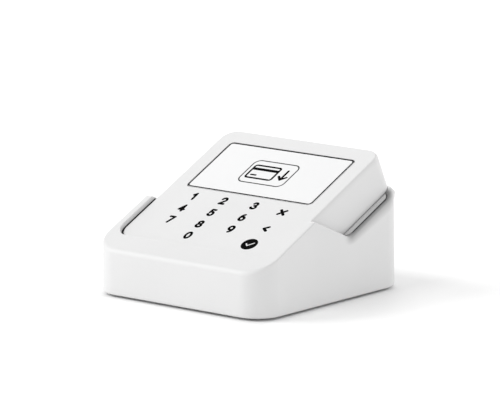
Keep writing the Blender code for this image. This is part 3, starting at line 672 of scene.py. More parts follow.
def top_rows(base, normal, width):
    """The section's rounded outer edge, its flat top and its small inner edge."""
    outer = edge_round(base, normal)
    inner = INNER_EDGE + (SEAM_EDGE - INNER_EDGE) * rim_share(base.y)
    turn_end = math.acos(max(0.0, (outer - width + inner) / (outer - inner)))
    flat = max(0.0, width - inner - outer)
    rows = ARC_ROWS + FLAT_ROWS
    arc_share = 1.0 - FLAT_ROWS / rows * min(1.0, flat / 0.5)
    places = []
    for row in range(rows + 1):
        share = row / rows
        if share <= arc_share + 1e-9:
            angle = turn_end * share / arc_share
            places.append((outer * (1 - math.cos(angle)), outer * (1 - math.sin(angle))))
        else:
            places.append((outer + flat * (share - arc_share) / (1 - arc_share), 0.0))
    drop_end = outer * (1 - math.sin(turn_end))
    for row in range(1, SEAM_ROWS + 1):
        angle = turn_end + (math.pi - turn_end) * row / SEAM_ROWS
        places.append((width - inner - inner * math.cos(angle),
                       drop_end + inner * (math.sin(turn_end) - math.sin(angle))))
    return [top_point(base, normal, inset, drop) for inset, drop in places]


def inside_rows(base, normal, edge):
    """The section's inner edge, the ledge over the tray and the inside of the wall."""
    rear_share = rim_share(base.y, 6.0)
    down = (Vector((0, 0, -1)) * rear_share - OUT * (1 - rear_share)).normalized()
    local = to_face(edge)
    reach = max(LEDGE_MIN, local.z - (TRAY.z + SLOT_GAP))
    if base.y > RIM_START_Y and slot_distance(local) >= 0.3:
        reach = REAR_THICK
    below = edge + down * reach
    local = to_face(below)
    tray_gap = -box_distance(local.x, local.y, TRAY.x + SLOT_GAP, TRAY.y + SLOT_GAP,
                             TRAY_CORNER + SLOT_GAP)
    flat_normal = Vector((normal.x, normal.y * UP.y, normal.y * UP.z))
    outward = (flat_normal * (1 - rear_share) + normal * rear_share).normalized()
    step_out = below + outward * max(TRAY_CLEAR, tray_gap)
    ledge = step_out + down * LEDGE_HEIGHT
    wall = [wall_point(base, normal, SHELL_WALL, z)
            for z in (max(ledge.z - LEDGE_FALL, INSIDE_LOW), SHELL_LOW.z)]
    return [edge + down * reach / 2, below, step_out, ledge, *wall]


def shell_section(base, normal):
    """One cross-section of the shell, from its bottom edge over the top and down inside."""
    points = [wall_point(base, normal, FOOT_EDGE * inset, SHELL_LOW.z + FOOT_EDGE * rise)
              for rise, inset in round_off(FOOT_ROWS)]
    start = points[-1].z
    end = top_point(base, normal, 0.0, edge_round(base, normal)).z
    for row in range(1, WALL_ROWS):
        points.append(wall_point(base, normal, 0.0, start + (end - start) * row / WALL_ROWS))
    points += top_rows(base, normal, top_width(base, normal))
    return points + inside_rows(base, normal, points[-1])


def build_shell():
    """The white wedge, as one ring of cross-sections."""
    sections = [shell_section(base, normal) for base, normal in shell_stations()]
    shell = new_object("shell_fine", lambda bm: add_loft(bm, sections, ring_closed=True))

    def inlet(tool):
        add_loft(tool, [[(x, y, INLET_HEIGHT + z)
                         for x, z in outline(*(size + grow for size in (*INLET_HALF, INLET_CORNER)))]
                        for y, grow in INLET_FLARE])

    combine(shell, "DIFFERENCE", inlet)
    # Painted shade: darken the shell's colour near the slots, for the shadow by the tray's seam.
    unshaded = shell.data.attributes.new("unshaded", "FLOAT", "POINT")
    for vertex, value in zip(shell.data.vertices, unshaded.data):
        local = to_face(vertex.co / MM)
        aside = max(0.0, slot_distance(local))
        value.value = ease(0.0, PAINTED_SHADE_REACH, math.hypot(aside, min(0.0, local.z - TRAY.z)))
    finish_piece(shell, WHITE, "cradle", "white_plastic", ("outer_shell",))


# Painted shade: a thin black strip set in the lip's gap, where there is only shadow.
GAP_SHADE_TOP = -0.2
GAP_SHADE_LOW = -3.2
GAP_SHADE_THICK = 0.12
GAP_SHADE_BITE = 0.02  # how far the dark strip reaches into the lip
GAP_SHADE_END_Y = -12.4


def build_gap_shade():
    """A thin black strip inside the lip: painted shade for the dark gap by the reader's face."""
    pairs = [*zip(outline(POCKET_X, POCKET_Y, POCKET_CORNER, -GAP_SHADE_BITE),
                  outline(POCKET_X, POCKET_Y, POCKET_CORNER, GAP_SHADE_THICK))]
    corner = CORNER_STEPS + 1
    first = ((-POCKET_X - GAP_SHADE_BITE, GAP_SHADE_END_Y), (-POCKET_X + GAP_SHADE_THICK, GAP_SHADE_END_Y))
    last = tuple((-x, y) for x, y in first)
    sections = [[(*out, GAP_SHADE_LOW), (*out, GAP_SHADE_TOP), (*face, GAP_SHADE_TOP), (*face, GAP_SHADE_LOW)]
                for out, face in [first, *pairs[-corner:], *pairs[:corner], last]]
    make_piece("lip_gap_shade", lambda bm: add_loft(bm, sections), FACE, RUBBER, "cradle", "rubber")


build_shell()
build_gap_shade()

# ---------------------------------------------------------------- tray
RIM_CROWN = 0.8
RIM_INNER_EDGE = 0.25
TRAY_OUTER_ROUND = 10.0
TRAY_STEP = TRAY.z - LEDGE_HEIGHT
TRAY_BOSS = 3.0
TRAY_BOSS_LOW = 4.3
TRAY_BOSS_DROP = 5.0  # from the shell's low rim to the boss's top
PILOT = 1.05
PILOT_TOP = 8.2
PIN_WINDOW = (11.3, 3.3)
BASE_SCREWS = [(-36.0, -10.0), (36.0, -10.0), (-36.0, 26.0), (36.0, 26.0)]
PIN_Y = 21.0
PIN_PITCH = 5.0
PIN_PLACES = [(PIN_PITCH * (index - 1.5), PIN_Y) for index in range(4)]


def tray_rings():
    """Outside, rounded rim and inside of the tray, as one run of rings."""
    side = pillow_rings(TRAY.x, TRAY.y, TRAY_CORNER, TRAY_BELLY, TRAY.z, TRAY_OUTER_ROUND)
    top = TRAY.z - RIM_CROWN
    rings = [ring for ring in side if ring[0][2] < top - 0.2]
    for back, fall in round_off(ROUND_STEPS):
        rings.append(level_ring(top + RIM_CROWN * (1 - fall), TRAY.x, TRAY.y, TRAY_CORNER,
                                (TRAY_WALL_SIDE - RIM_INNER_EDGE) * back))
    for fall, back in round_off(EDGE_STEPS)[1:]:
        rings.append(level_ring(TRAY.z - RIM_INNER_EDGE * fall, POCKET_X, POCKET_Y,
                                POCKET_CORNER, -RIM_INNER_EDGE * back))
    bend = READER_BELLY_ROUND + FIT
    for rise, inset in reversed(round_off(ROUND_STEPS)):
        depth = TRAY_FLOOR + bend * rise
        if depth < TRAY.z - 0.8:
            rings.append(level_ring(depth, POCKET_X, POCKET_Y, POCKET_CORNER, bend * inset))
    return rings


def build_tray():
    """The grey tub the reader sits in."""
    tray = new_object("tray_fine", lambda bm: add_loft(bm, tray_rings()), FACE)

    def beyond_slots(tool):
        add_box(tool, (-FAR, SLOT_START + 10.0, TRAY_STEP), (FAR, FAR, FAR))

    def slots(tool):
        half = (SLOT_END - SLOT_START) / 2 - SLOT_GAP
        add_plate(tool, TRAY.x + 0.05, half, SLOT_CORNER - SLOT_GAP, -FARTHER, FARTHER,
                  centre=(0.0, (SLOT_END + SLOT_START) / 2),
                  rear_radius=SLOT_REAR_CORNER - SLOT_GAP)

    def above_rear(tool):
        low_y = ORIGIN.y + (SLOT_END + 0.5) * COS - TRAY.z * math.sin(TILT)
        add_box(tool, (-FAR, low_y, TRAY_REAR_TOP), (FAR, FARTHER, 90.0))

    def bosses(tool):
        for x, y in BASE_SCREWS:
            add_rods(tool, TRAY_BOSS, [(x, y)], TRAY_BOSS_LOW, rim_height(y) - TRAY_BOSS_DROP)

    def seat(tool):
        add_loft(tool, pillow_rings(POCKET_X, POCKET_Y, POCKET_CORNER, TRAY_FLOOR, FAR,
                                    READER_BELLY_ROUND + FIT))

    def pin_window(tool):
        add_plate(tool, *PIN_WINDOW, 0.6, -40.0, -20.0, centre=(0.0, PIN_Y))

    step = new_object("tray_step", beyond_slots, FACE)
    combine(step, "DIFFERENCE", slots, FACE)
    combine(tray, "DIFFERENCE", lambda tool: tool.from_mesh(step.data))
    bpy.data.objects.remove(step)
    combine(tray, "DIFFERENCE", above_rear)
    combine(tray, "UNION", bosses)
    combine(tray, "DIFFERENCE", seat, FACE)
    combine(tray, "DIFFERENCE", pin_window, FACE)
    combine(tray, "DIFFERENCE", lambda tool: add_rods(tool, PILOT, BASE_SCREWS, 0.0, PILOT_TOP))
    finish_piece(tray, GREY, "cradle", "grey_plastic", ("inner_tray",))


build_tray()

# ---------------------------------------------------------------- reader covers
READER_SCREWS = [(-29.5, 36.3), (29.5, 36.3), (-34.3, -30.0), (34.3, -30.0)]
SCREW_SEAT = READER_BOTTOM + 3.6
SCREEN_MIDDLE = (0.0, LENS_CENTRE_Y)
SCREEN_RECESS = 1.8
SCREEN_WINDOW = (30.5, 13.8)
CARD_SLOT = ((-28.5, -READER.y, -13.8), (28.5, -35.0, -12.0))
SOCKET_OPENING = ((-4.4, 35.0, -8.3), (4.4, READER.y, -4.5))
BUTTON_OPENING = ((-READER.x, 15.15, -8.95), (-36.0, 24.85, -5.05))
FRONT_BOSS = 2.6
FRONT_PILOT = 1.2
REAR_BOSS = 3.3
REAR_WAY = 1.4
REAR_FLOOR = READER_BOTTOM + 1.8
WELL_LOW = -24.0
SCREW_WELL = [(2.75, WELL_LOW), (2.75, READER_BOTTOM), (2.4, READER_BOTTOM + 0.35),
              (2.4, SCREW_SEAT)]
PIN_WELL = [(2.5, WELL_LOW), (2.5, READER_BOTTOM), (2.2, READER_BOTTOM + 0.3), (2.2, -15.0)]


def reader_form(bm):
    """The whole reader's outer form."""
    add_loft(bm, pillow_rings(READER.x, READER.y, READER_CORNER, READER_BOTTOM, 0.0,
                              READER_BELLY_ROUND, FACE_EDGE_DOWN, FACE_EDGE_ACROSS))


def flared_box(bm, low, high, radius, axis, flare):
    """A rounded opening cut along an axis, a little wider where it meets the low face."""
    low, high = Vector(low), Vector(high)
    middle, half = (low + high) / 2, (high - low) / 2
    first, second = [i for i in range(3) if i != axis]
    rings = []
    for place, grow in ((-1.0, flare), (-1.0 + 0.4 * flare / half[axis], flare * 0.35),
                        (-1.0 + flare / half[axis], 0.0), (1.0, 0.0)):
        ring = []
        for across, along in outline(half[first] + grow, half[second] + grow, radius + grow):
            point = middle.copy()
            point[axis] += place * half[axis]
            point[first] += across
            point[second] += along
            ring.append(point)
        rings.append(ring)
    add_loft(bm, rings)


def build_front_cover():
    """Seamless face and sides, with the display's recess and the openings in its edges."""
    cover = new_object("reader_front_fine", reader_form, FACE)

    def below_split(tool):
        add_plate(tool, FAR, FAR, 1.0, -FAR, SPLIT)

    def hollow(tool):
        add_plate(tool, READER.x - READER_WALL, READER.y - READER_WALL,
                  READER_CORNER - READER_WALL, -30.0, -FACE_THICK)

    def bosses(tool):
        add_rods(tool, FRONT_BOSS, READER_SCREWS, SPLIT, -FACE_THICK + 0.8)

    def pilots(tool):
        add_rods(tool, FRONT_PILOT, READER_SCREWS, -20.0, -9.0)

    def openings(tool):
        add_plate(tool, LENS.x + LENS_GAP, LENS_HALF_HEIGHT + LENS_GAP, LENS_CORNER + LENS_GAP,
                  -SCREEN_RECESS, 1.0, centre=SCREEN_MIDDLE)
        flared_box(tool, *CARD_SLOT, 0.8, 1, 0.3)
        flared_box(tool, *SOCKET_OPENING, 1.7, 1, -0.01)
        flared_box(tool, *BUTTON_OPENING, 1.6, 0, 0.25)

    def window(tool):
        add_plate(tool, *SCREEN_WINDOW, 1.0, -4.0, -1.0, centre=SCREEN_MIDDLE)

    combine(cover, "DIFFERENCE", below_split, FACE)
    combine(cover, "DIFFERENCE", hollow, FACE)
    combine(cover, "UNION", bosses, FACE)
    combine(cover, "DIFFERENCE", pilots, FACE)
    combine(cover, "DIFFERENCE", openings, FACE)
    combine(cover, "DIFFERENCE", window, FACE)
    finish_piece(cover, READER_WHITE, "reader", "white_plastic", ("front_cover",))


def build_rear_cover():
    """Rounded underside with screw wells and round ways for the charging contacts."""
    cover = new_object("reader_rear_fine", reader_form, FACE)

    def above_split(tool):
        add_plate(tool, FAR, FAR, 1.0, SPLIT - COVER_GAP, 20.0)

    def hollow(tool):
        add_loft(tool, pillow_rings(READER.x - READER_WALL, READER.y - READER_WALL,
                                    READER_CORNER - READER_WALL, REAR_FLOOR, 0.0, 6.2))

    def rods(tool):
        add_rods(tool, REAR_BOSS, READER_SCREWS, READER_BOTTOM - 1.0, SPLIT - COVER_GAP)

    def ways(tool):
        add_rods(tool, REAR_WAY, READER_SCREWS, -22.0, -10.0)

    def wells(tool):
        add_turned(tool, SCREW_WELL, READER_SCREWS)
        add_turned(tool, PIN_WELL, PIN_PLACES)

    combine(cover, "DIFFERENCE", above_split, FACE)
    combine(cover, "DIFFERENCE", hollow, FACE)
    bosses = new_object("rear_bosses", rods, FACE)
    combine(bosses, "INTERSECT", reader_form, FACE)
    combine(cover, "UNION", lambda tool: tool.from_mesh(bosses.data))
    bpy.data.objects.remove(bosses)
    combine(cover, "DIFFERENCE", ways, FACE)
    combine(cover, "DIFFERENCE", wells, FACE)
    finish_piece(cover, READER_WHITE, "reader", "white_plastic", ("rear_cover",))


build_front_cover()
build_rear_cover()

# ---------------------------------------------------------------- display
LENS_EDGE = 0.08
BORDER_INSET = 0.05
BORDER_WIDTH = 0.68
SEAL_GAP = 0.03
PRINT_LOW = -0.012
PRINT_HIGH = 0.018


def add_frame(bm, outer, inner, low, high):
    """A closed frame between two insets of the display's outline."""
    rings = [level_ring(z, LENS.x, LENS_HALF_HEIGHT, LENS_CORNER, inset, centre=SCREEN_MIDDLE)
             for inset, z in ((inner, low), (outer, low), (outer, high), (inner, high))]
    add_loft(bm, rings, ring_closed=True)


def build_display():
    """The flush lens, the fine dark line round it and the seal in its gap."""
    def lens(bm):
        add_plate(bm, LENS.x, LENS_HALF_HEIGHT, LENS_CORNER, -1.0, 0.0, LENS_EDGE,
                  centre=SCREEN_MIDDLE)

    def border(bm):
        add_frame(bm, BORDER_INSET, BORDER_INSET + BORDER_WIDTH, PRINT_LOW, PRINT_HIGH)

    def seal(bm):
        add_frame(bm, -LENS_GAP + 0.05, -SEAL_GAP, -1.1, -0.3)

    make_piece("display_lens_fine", lens, FACE, DISPLAY, "reader", "lens", ("display_lens",))
    make_piece("display_border", border, FACE, BORDER_INK, "reader", "print")
    make_piece("display_seal", seal, FACE, RUBBER, "reader", "rubber")


build_display()

# ---------------------------------------------------------------- printed legends
PRINT_PITCH = 0.085
DIGIT_HEIGHT = 5.2
DIGIT_WIDTH = 3.65
DIGIT_STROKE = 1.22
COLUMNS = (-24.3, -8.3, 8.4)
ROWS = (-7.5, -16.1, -24.6, -32.8)
SIGN_X = 24.3
SIGN_STROKE = 1.3
CANCEL_Y = -8.9
BACK_Y = -20.8
CONFIRM_PLACE = (SIGN_X - 0.2, -32.1)
CONFIRM_RADIUS = 3.75
ICON_Y = LENS_CENTRE_Y - 0.4


def sweep(cx, cy, rx, ry, start, end):
    """Points on an elliptical arc, angles in degrees."""
    count = max(4, int(abs(end - start) / 9))
    turns = [math.radians(start + (end - start) * step / count) for step in range(count + 1)]
    return [(cx + rx * math.cos(a), cy + ry * math.sin(a)) for a in turns]


DIGITS = {
    "0": [sweep(0.5, 0.5, 0.5, 0.5, 0, 360)],
    "1": [[(0.14, 0.76), (0.58, 1.0), (0.58, 0.0)]],
    "2": [sweep(0.48, 0.71, 0.44, 0.29, 172, -38) + [(0.02, 0.0), (0.98, 0.0)]],
    "3": [sweep(0.47, 0.76, 0.40, 0.24, 160, -90) + sweep(0.47, 0.26, 0.49, 0.26, 90, -160)],
    "4": [[(0.74, 0.0), (0.74, 1.0), (0.0, 0.27), (1.04, 0.27)]],
    "5": [[(0.9, 1.0), (0.2, 1.0), (0.12, 0.5)] + sweep(0.46, 0.32, 0.48, 0.32, 135, -155)],
    "6": [sweep(0.5, 0.31, 0.48, 0.31, 0, 360), sweep(0.68, 0.36, 0.66, 0.64, 176, 100)],
    "7": [[(0.0, 1.0), (0.97, 1.0), (0.34, 0.0)]],
    "8": [sweep(0.5, 0.76, 0.39, 0.24, 0, 360), sweep(0.5, 0.26, 0.48, 0.26, 0, 360)],
    "9": [sweep(0.5, 0.69, 0.48, 0.31, 0, 360), sweep(0.32, 0.64, 0.66, 0.64, -4, -80)],
}


def stroke_distance(x, y, lines, width):
    """Distance to lines drawn with a round pen, negative under the pen."""
    best = np.full(x.shape, 1e9)
    for line in lines:
        for (ax, ay), (bx, by) in zip(line, line[1:]):
            dx, dy = bx - ax, by - ay
            along = ((x - ax) * dx + (y - ay) * dy) / max(dx * dx + dy * dy, 1e-12)
            along = np.clip(along, 0.0, 1.0)
            best = np.minimum(best, np.hypot(x - ax - along * dx, y - ay - along * dy))
    return best - width / 2


def print_shape(name, centre, half_x, half_y, distance, material):
    """A thin printed film wherever distance(x, y) is negative round a centre on the face."""
    xs = np.linspace(-half_x, half_x, int(2 * half_x / PRINT_PITCH) + 2)
    ys = np.linspace(-half_y, half_y, int(2 * half_y / PRINT_PITCH) + 2)
    field = distance(*np.meshgrid(xs, ys, indexing="ij"))

    def film(bm):
        made = {}

        def vertex(key, x, y):
            if key not in made:
                made[key] = bm.verts.new(Vector((centre[0] + x, centre[1] + y, PRINT_LOW)) * MM)
            return made[key]

        def cell(*corners):
            loop = []
            for here, there in zip(corners, corners[1:] + corners[:1]):
                first, second = field[here], field[there]
                x, y = xs[here[0]], ys[here[1]]
                if first < 0:
                    loop.append(vertex(here, x, y))
                if (first < 0) != (second < 0):
                    share = min(0.98, max(0.02, first / (first - second)))
                    loop.append(vertex((min(here, there), max(here, there)),
                                       x + (xs[there[0]] - x) * share,
                                       y + (ys[there[1]] - y) * share))
            if len(loop) > 2:
                bm.faces.new(loop)

        for i in range(len(xs) - 1):
            for j in range(len(ys) - 1):
                cell((i, j), (i + 1, j), (i + 1, j + 1), (i, j + 1))
        bmesh.ops.dissolve_limit(bm, angle_limit=math.radians(1.5), verts=bm.verts,
                                 edges=bm.edges, use_dissolve_boundaries=False)
        raised = bmesh.ops.extrude_face_region(bm, geom=list(bm.faces))
        moved = [item for item in raised["geom"] if isinstance(item, bmesh.types.BMVert)]
        bmesh.ops.translate(bm, verts=moved, vec=Vector((0, 0, (PRINT_HIGH - PRINT_LOW) * MM)))

    make_piece(name, film, FACE, material, "reader", "print")


def print_strokes(name, centre, half_x, half_y, lines, width):
    """Lines printed in black as if with a round pen."""
    print_shape(name, centre, half_x, half_y, lambda u, v: stroke_distance(u, v, lines, width),
                INK)


def print_digit(digit, x, y):
    """One bold digit of the keypad."""
    wide = DIGIT_WIDTH - DIGIT_STROKE
    high = DIGIT_HEIGHT - DIGIT_STROKE
    lines = [[((px - 0.5) * wide, (py - 0.5) * high) for px, py in line]
             for line in DIGITS[digit]]
    print_strokes(f"digit_{digit}", (x, y), DIGIT_WIDTH / 2 + 0.3, DIGIT_HEIGHT / 2 + 0.3,
                  lines, DIGIT_STROKE)


def build_keypad():
    """Digits 0 to 9 and the cancel, back and confirm signs."""
    for index in range(9):
        print_digit(str(index + 1), COLUMNS[index % 3], ROWS[index // 3])
    print_digit("0", COLUMNS[1], ROWS[3])
    arm = 1.45
    cross = [[(-arm, -arm), (arm, arm)], [(-arm, arm), (arm, -arm)]]
    print_strokes("sign_cancel", (SIGN_X, CANCEL_Y), 2.2, 2.2, cross, SIGN_STROKE)
    angle = [[(0.95, 1.35), (-0.95, 0.0), (0.95, -1.35)]]
    print_strokes("sign_back", (SIGN_X, BACK_Y), 1.8, 2.2, angle, SIGN_STROKE)
    tick = [[(-1.65, 0.05), (-0.5, -1.1), (1.75, 1.15)]]
    print_shape("sign_confirm", CONFIRM_PLACE, 4.0, 4.0,
                lambda u, v: np.maximum(np.hypot(u, v) - CONFIRM_RADIUS,
                                        -stroke_distance(u, v, tick, 0.62)), INK)


def rounded_frame(u, v, half_x, half_y, radius, width):
    """Distance to the line of a rounded rectangle."""
    dx = np.abs(u) - half_x + radius
    dy = np.abs(v) - half_y + radius
    edge = np.hypot(np.maximum(dx, 0), np.maximum(dy, 0)) + np.minimum(np.maximum(dx, dy), 0)
    return np.abs(edge - radius) - width / 2


def build_icon():
    """A plain picture of a bank card with an arrow: present a card here."""
    def card(u, v):
        stripe = np.maximum(np.abs(u) - 6.6, np.abs(v - 1.9) - 0.85)
        return np.minimum(np.minimum(rounded_frame(u, v, 6.9, 4.4, 1.1, 1.0), stripe),
                          stroke_distance(u, v, [[(-5.0, -2.3), (-2.4, -2.3)]], 0.9))

    print_shape("icon_card", (-3.6, ICON_Y), 7.6, 5.1, card, INK)
    print_strokes("icon_arrow", (7.6, ICON_Y), 2.8, 4.2,
                  [[(0.0, 3.4), (0.0, -3.0)], [(-2.0, -1.0), (0.0, -3.1), (2.0, -1.0)]], 1.15)
    print_shape("icon_frame", (-0.6, ICON_Y), 12.4, 8.2,
                lambda u, v: rounded_frame(u, v, 12.0, 7.8, 3.0, 0.6), FINE_INK)


build_keypad()
build_icon()

# ---------------------------------------------------------------- underside and fasteners
FEET = [(-34.0, -37.0), (34.0, -37.0), (-34.0, 37.5), (34.0, 37.5)]
PLATE_HALF = (43.85, 45.5)
PLATE_LOW = 1.0
PLATE_HIGH = 2.4
RING_TOP = 4.0
SCREW_RING = [(4.2, PLATE_LOW + 0.9), (4.2, RING_TOP - 0.3), (3.9, RING_TOP)]
BASE_WELL = [(2.9, PLATE_LOW - 0.1), (2.5, PLATE_LOW + 0.3), (2.5, 2.6), (1.3, 2.6),
             (1.3, RING_TOP + 1.0)]
FOOT_WELL = [(5.5, PLATE_LOW - 0.1), (5.3, PLATE_LOW + 0.1), (5.3, PLATE_LOW + 0.5)]
FOOT = [(3.4, 0.2), (3.7, 0.05), (3.9, 0.0), (4.6, 0.0), (4.85, 0.08), (5.0, 0.3), (5.0, 1.1),
        (4.9, 1.2)]
BASE_SCREW = ((2.1, 1.2), (0.9, 6.6))  # head radius and height, shank radius and full length
READER_SCREW = ((1.9, 1.3), (0.95, 11.0))
THREAD_PITCH = 0.55
THREAD_ROOT = 0.8
CROSS_HALF = 0.25
PAD = [(1.65, READER_BOTTOM), (1.83, READER_BOTTOM + 0.06), (1.9, READER_BOTTOM + 0.2),
       (1.9, READER_BOTTOM + 1.9)]
PIN = [(0.7, TRAY_FLOOR - 2.7), (0.7, TRAY_FLOOR - 0.55), (0.64, TRAY_FLOOR - 0.3),
       (0.48, TRAY_FLOOR - 0.12), (0.28, TRAY_FLOOR - 0.03), (0.1, TRAY_FLOOR)]


def at(x, y, z, place=WORLD):
    """A place in mm, carried into the row frame."""
    return place @ Matrix.Translation(Vector((x, y, z)) * MM)


def build_base_plate():
    """The cradle's bottom plate, with rings round the screws and recesses for the feet."""
    def blank(bm):
        add_plate(bm, *PLATE_HALF, 9.7, PLATE_LOW, PLATE_HIGH, 0.3, rear_radius=10.7)

    def wells(tool):
        add_turned(tool, BASE_WELL, BASE_SCREWS)
        add_turned(tool, FOOT_WELL, FEET)

    plate = new_object("base_plate_fine", blank)
    combine(plate, "UNION", lambda tool: add_turned(tool, SCREW_RING, BASE_SCREWS))
    combine(plate, "DIFFERENCE", wells)
    finish_piece(plate, PLAIN_WHITE, "cradle", "white_plastic", ("base_plate",))


def build_feet():
    """Rubber feet, each with a rounded edge and a shallow dish."""
    for number, place in enumerate(FEET, start=1):
        make_piece(f"foot_fine_{number}", lambda bm: add_turned(bm, FOOT, [place]), WORLD,
                   RUBBER, "cradle", "rubber", (f"foot_{number}",))


def build_screw(node, place, head, shank, body):
    """A pan-head screw, head down, with a cross recess and a fine thread."""
    head_radius, head_height = head
    shank_radius, length = shank
    root = shank_radius * THREAD_ROOT
    profile = [(head_radius - 0.4, 0.0), (head_radius - 0.12, 0.1), (head_radius, 0.35),
               (head_radius, head_height - 0.05), (shank_radius + 0.1, head_height)]
    z = head_height + 0.3
    while z < length - 1.2:
        profile += [(root, z), (shank_radius, z + THREAD_PITCH / 2)]
        z += THREAD_PITCH
    profile += [(root, z), (shank_radius * 0.4, length)]
    reach, depth = head_radius * 0.6, head_height * 0.6

    def cross(tool):
        add_box(tool, (-reach, -CROSS_HALF, -1.0), (reach, CROSS_HALF, depth))
        add_box(tool, (-CROSS_HALF, -reach, -1.0), (CROSS_HALF, reach, depth))

    screw = new_object(node + "_fine", lambda bm: add_turned(bm, profile, segments=32), place)
    combine(screw, "DIFFERENCE", cross, place)
    finish_piece(screw, STEEL, body, "steel", (node,))


def build_fasteners():
    """The cradle's and the reader's screws."""
    for number, (x, y) in enumerate(BASE_SCREWS, start=1):
        build_screw(f"base_screw_{number}", at(x, y, PLATE_LOW + 0.1), *BASE_SCREW, "cradle")
    for number, (x, y) in enumerate(READER_SCREWS, start=1):
        build_screw(f"reader_screw_{number}", at(x, y, SCREW_SEAT - 1.5, FACE), *READER_SCREW,
                    "reader")


def build_contacts():
    """The reader's gold pads and the sprung pins below them."""
    for number, place in enumerate(PIN_PLACES, start=1):
        make_piece(f"contact_pad_fine_{number}", lambda bm: add_turned(bm, PAD, [place]), FACE,
                   GOLD, "reader", "gold", (f"contact_pad_{number}",))
        pin = f"contact_pin_{number}"
        make_piece(f"contact_pin_fine_{number}", lambda bm: add_turned(bm, PIN, [place], 32),
                   FACE, GOLD, pin, "gold", (pin,))


BUTTON_PLACE = (-42.0, 20.0, -7.0)
BUTTON_HALF = (4.5, 1.6)
BUTTON_DOME = ((-0.6, 0.6), (-0.57, 0.35), (-0.48, 0.16), (-0.3, 0.04), (-0.1, 0.0), (3.0, 0.0))
FLANGE_REACH = 0.9
STEM_HALF = 0.8


def build_button():
    """The power button: a softly domed bar with its flange inside the wall."""
    x, y, z = BUTTON_PLACE
    half_y, half_z = BUTTON_HALF

    def bar(bm):
        add_loft(bm, [[(x + out, y + u, z + v)
                       for u, v in outline(half_y, half_z, half_z - 0.1, inset)]
                      for out, inset in BUTTON_DOME])

    def block(tool, start, end, reach_y, reach_z):
        add_box(tool, (x + start, y - reach_y, z - reach_z), (x + end, y + reach_y, z + reach_z))

    button = new_object("power_button_fine", bar, FACE)
    combine(button, "UNION", lambda tool: block(tool, 2.3, 3.1, half_y + FLANGE_REACH,
                                                half_z + FLANGE_REACH), FACE)
    combine(button, "UNION", lambda tool: block(tool, 2.9, 4.0, STEM_HALF, STEM_HALF), FACE)
    finish_piece(button, BUTTON_GREY, "power_button", "grey_plastic", ("power_button",))


SLEEVE_WALL = 0.4
SLEEVE_EDGE = 0.15
TONGUE_HALF = 0.3
CONTACT_HALF = 0.12
CONTACTS = 6


def build_socket(node, low, high, body, place=WORLD):
    """A charging socket: rounded metal sleeve, black tongue and gold contacts."""
    low, high = Vector(low), Vector(high)
    half_x, half_z = high.x, (high.z - low.z) / 2
    middle = (low.z + high.z) / 2
    reach = half_x - 1.3

    def sleeve(bm):
        places = ((low.y, 0.0), (high.y - SLEEVE_EDGE, 0.0), (high.y, SLEEVE_EDGE),
                  (high.y, SLEEVE_WALL - 0.1), (high.y - SLEEVE_EDGE, SLEEVE_WALL),
                  (low.y + 1.0, SLEEVE_WALL))
        add_loft(bm, [[(x, y, middle + z)
                       for x, z in outline(half_x, half_z, half_z - 0.05, inset)]
                      for y, inset in places])

    def tongue(bm):
        add_box(bm, (-reach, low.y + 1.02, middle - TONGUE_HALF),
                (reach, high.y - 0.8, middle + TONGUE_HALF))

    def contacts(bm):
        for index in range(CONTACTS):
            x = reach * (2 * (index + 0.5) / CONTACTS - 1)
            add_box(bm, (x - CONTACT_HALF, low.y + 1.6, middle + TONGUE_HALF + 0.01),
                    (x + CONTACT_HALF, high.y - 1.0, middle + TONGUE_HALF + 0.06))

    make_piece(node + "_sleeve", sleeve, place, STEEL, body, "steel", (node,))
    make_piece(node + "_tongue", tongue, place, BLACK, body, "black_plastic")
    make_piece(node + "_contacts", contacts, place, GOLD, body, "gold")


build_base_plate()
build_feet()
build_fasteners()
build_contacts()
build_button()
build_socket("reader_socket", (-3.9, 33.2, -7.7), (3.9, 40.0, -4.9), "reader", FACE)
build_socket("cradle_inlet", (-4.6, 37.5, 4.7), (4.6, 46.4, 8.1), "cradle")

HIDDEN_PARTS = (
    (BOARD, "contact_board", "inlet_board", "main_board"),
    (FOIL, "battery", "radio_module", "security_shield"),
    (COPPER, "antenna_coil", "touch_sensor"),
    (STEEL, "ballast_plate", "coin_cell", "power_switch"),
    (BLACK, "buzzer", "card_connector", "display_gasket", "lcd_panel", "pin_housing"),
    (RUBBER, "jumper_cable"),
    (PLAIN_WHITE, "backlight"),
)
for material, *nodes in HIDDEN_PARTS:
    for node in nodes:
        mesh = frame["nodes"][node].data
        mesh.materials.clear()
        mesh.materials.append(material)

# ---------------------------------------------------------------- floor, light, camera
FLOOR_MIDDLE = (0.006, 0.032)
FLOOR_NEAR = (0.040, 0.028)
FLOOR_FADE = 0.018
FLOOR_GLOW = 0.11
FLOOR_CLEAR = 0.004
SURROUND = 0.675
LIGHT_DISTANCE = 2.2
LIGHT_SIZE = 1.2
LIGHT_AIM = Vector((0, 0, 0.03))
LIGHTS = (("key_left", -54.0, 38.0, 22.5), ("left_back", -138.0, 28.0, 7.0),
          ("right_back", 160.0, 28.0, 9.5))
CAMERA_AZIMUTH = 39.881
CAMERA_ELEVATION = 11.222
CAMERA_ROLL = -0.141
CAMERA_DISTANCE = 1.8641
CAMERA_TARGET = Vector((-1.36, 2.08, 33.46)) * MM
CAMERA_LENS = 321.99


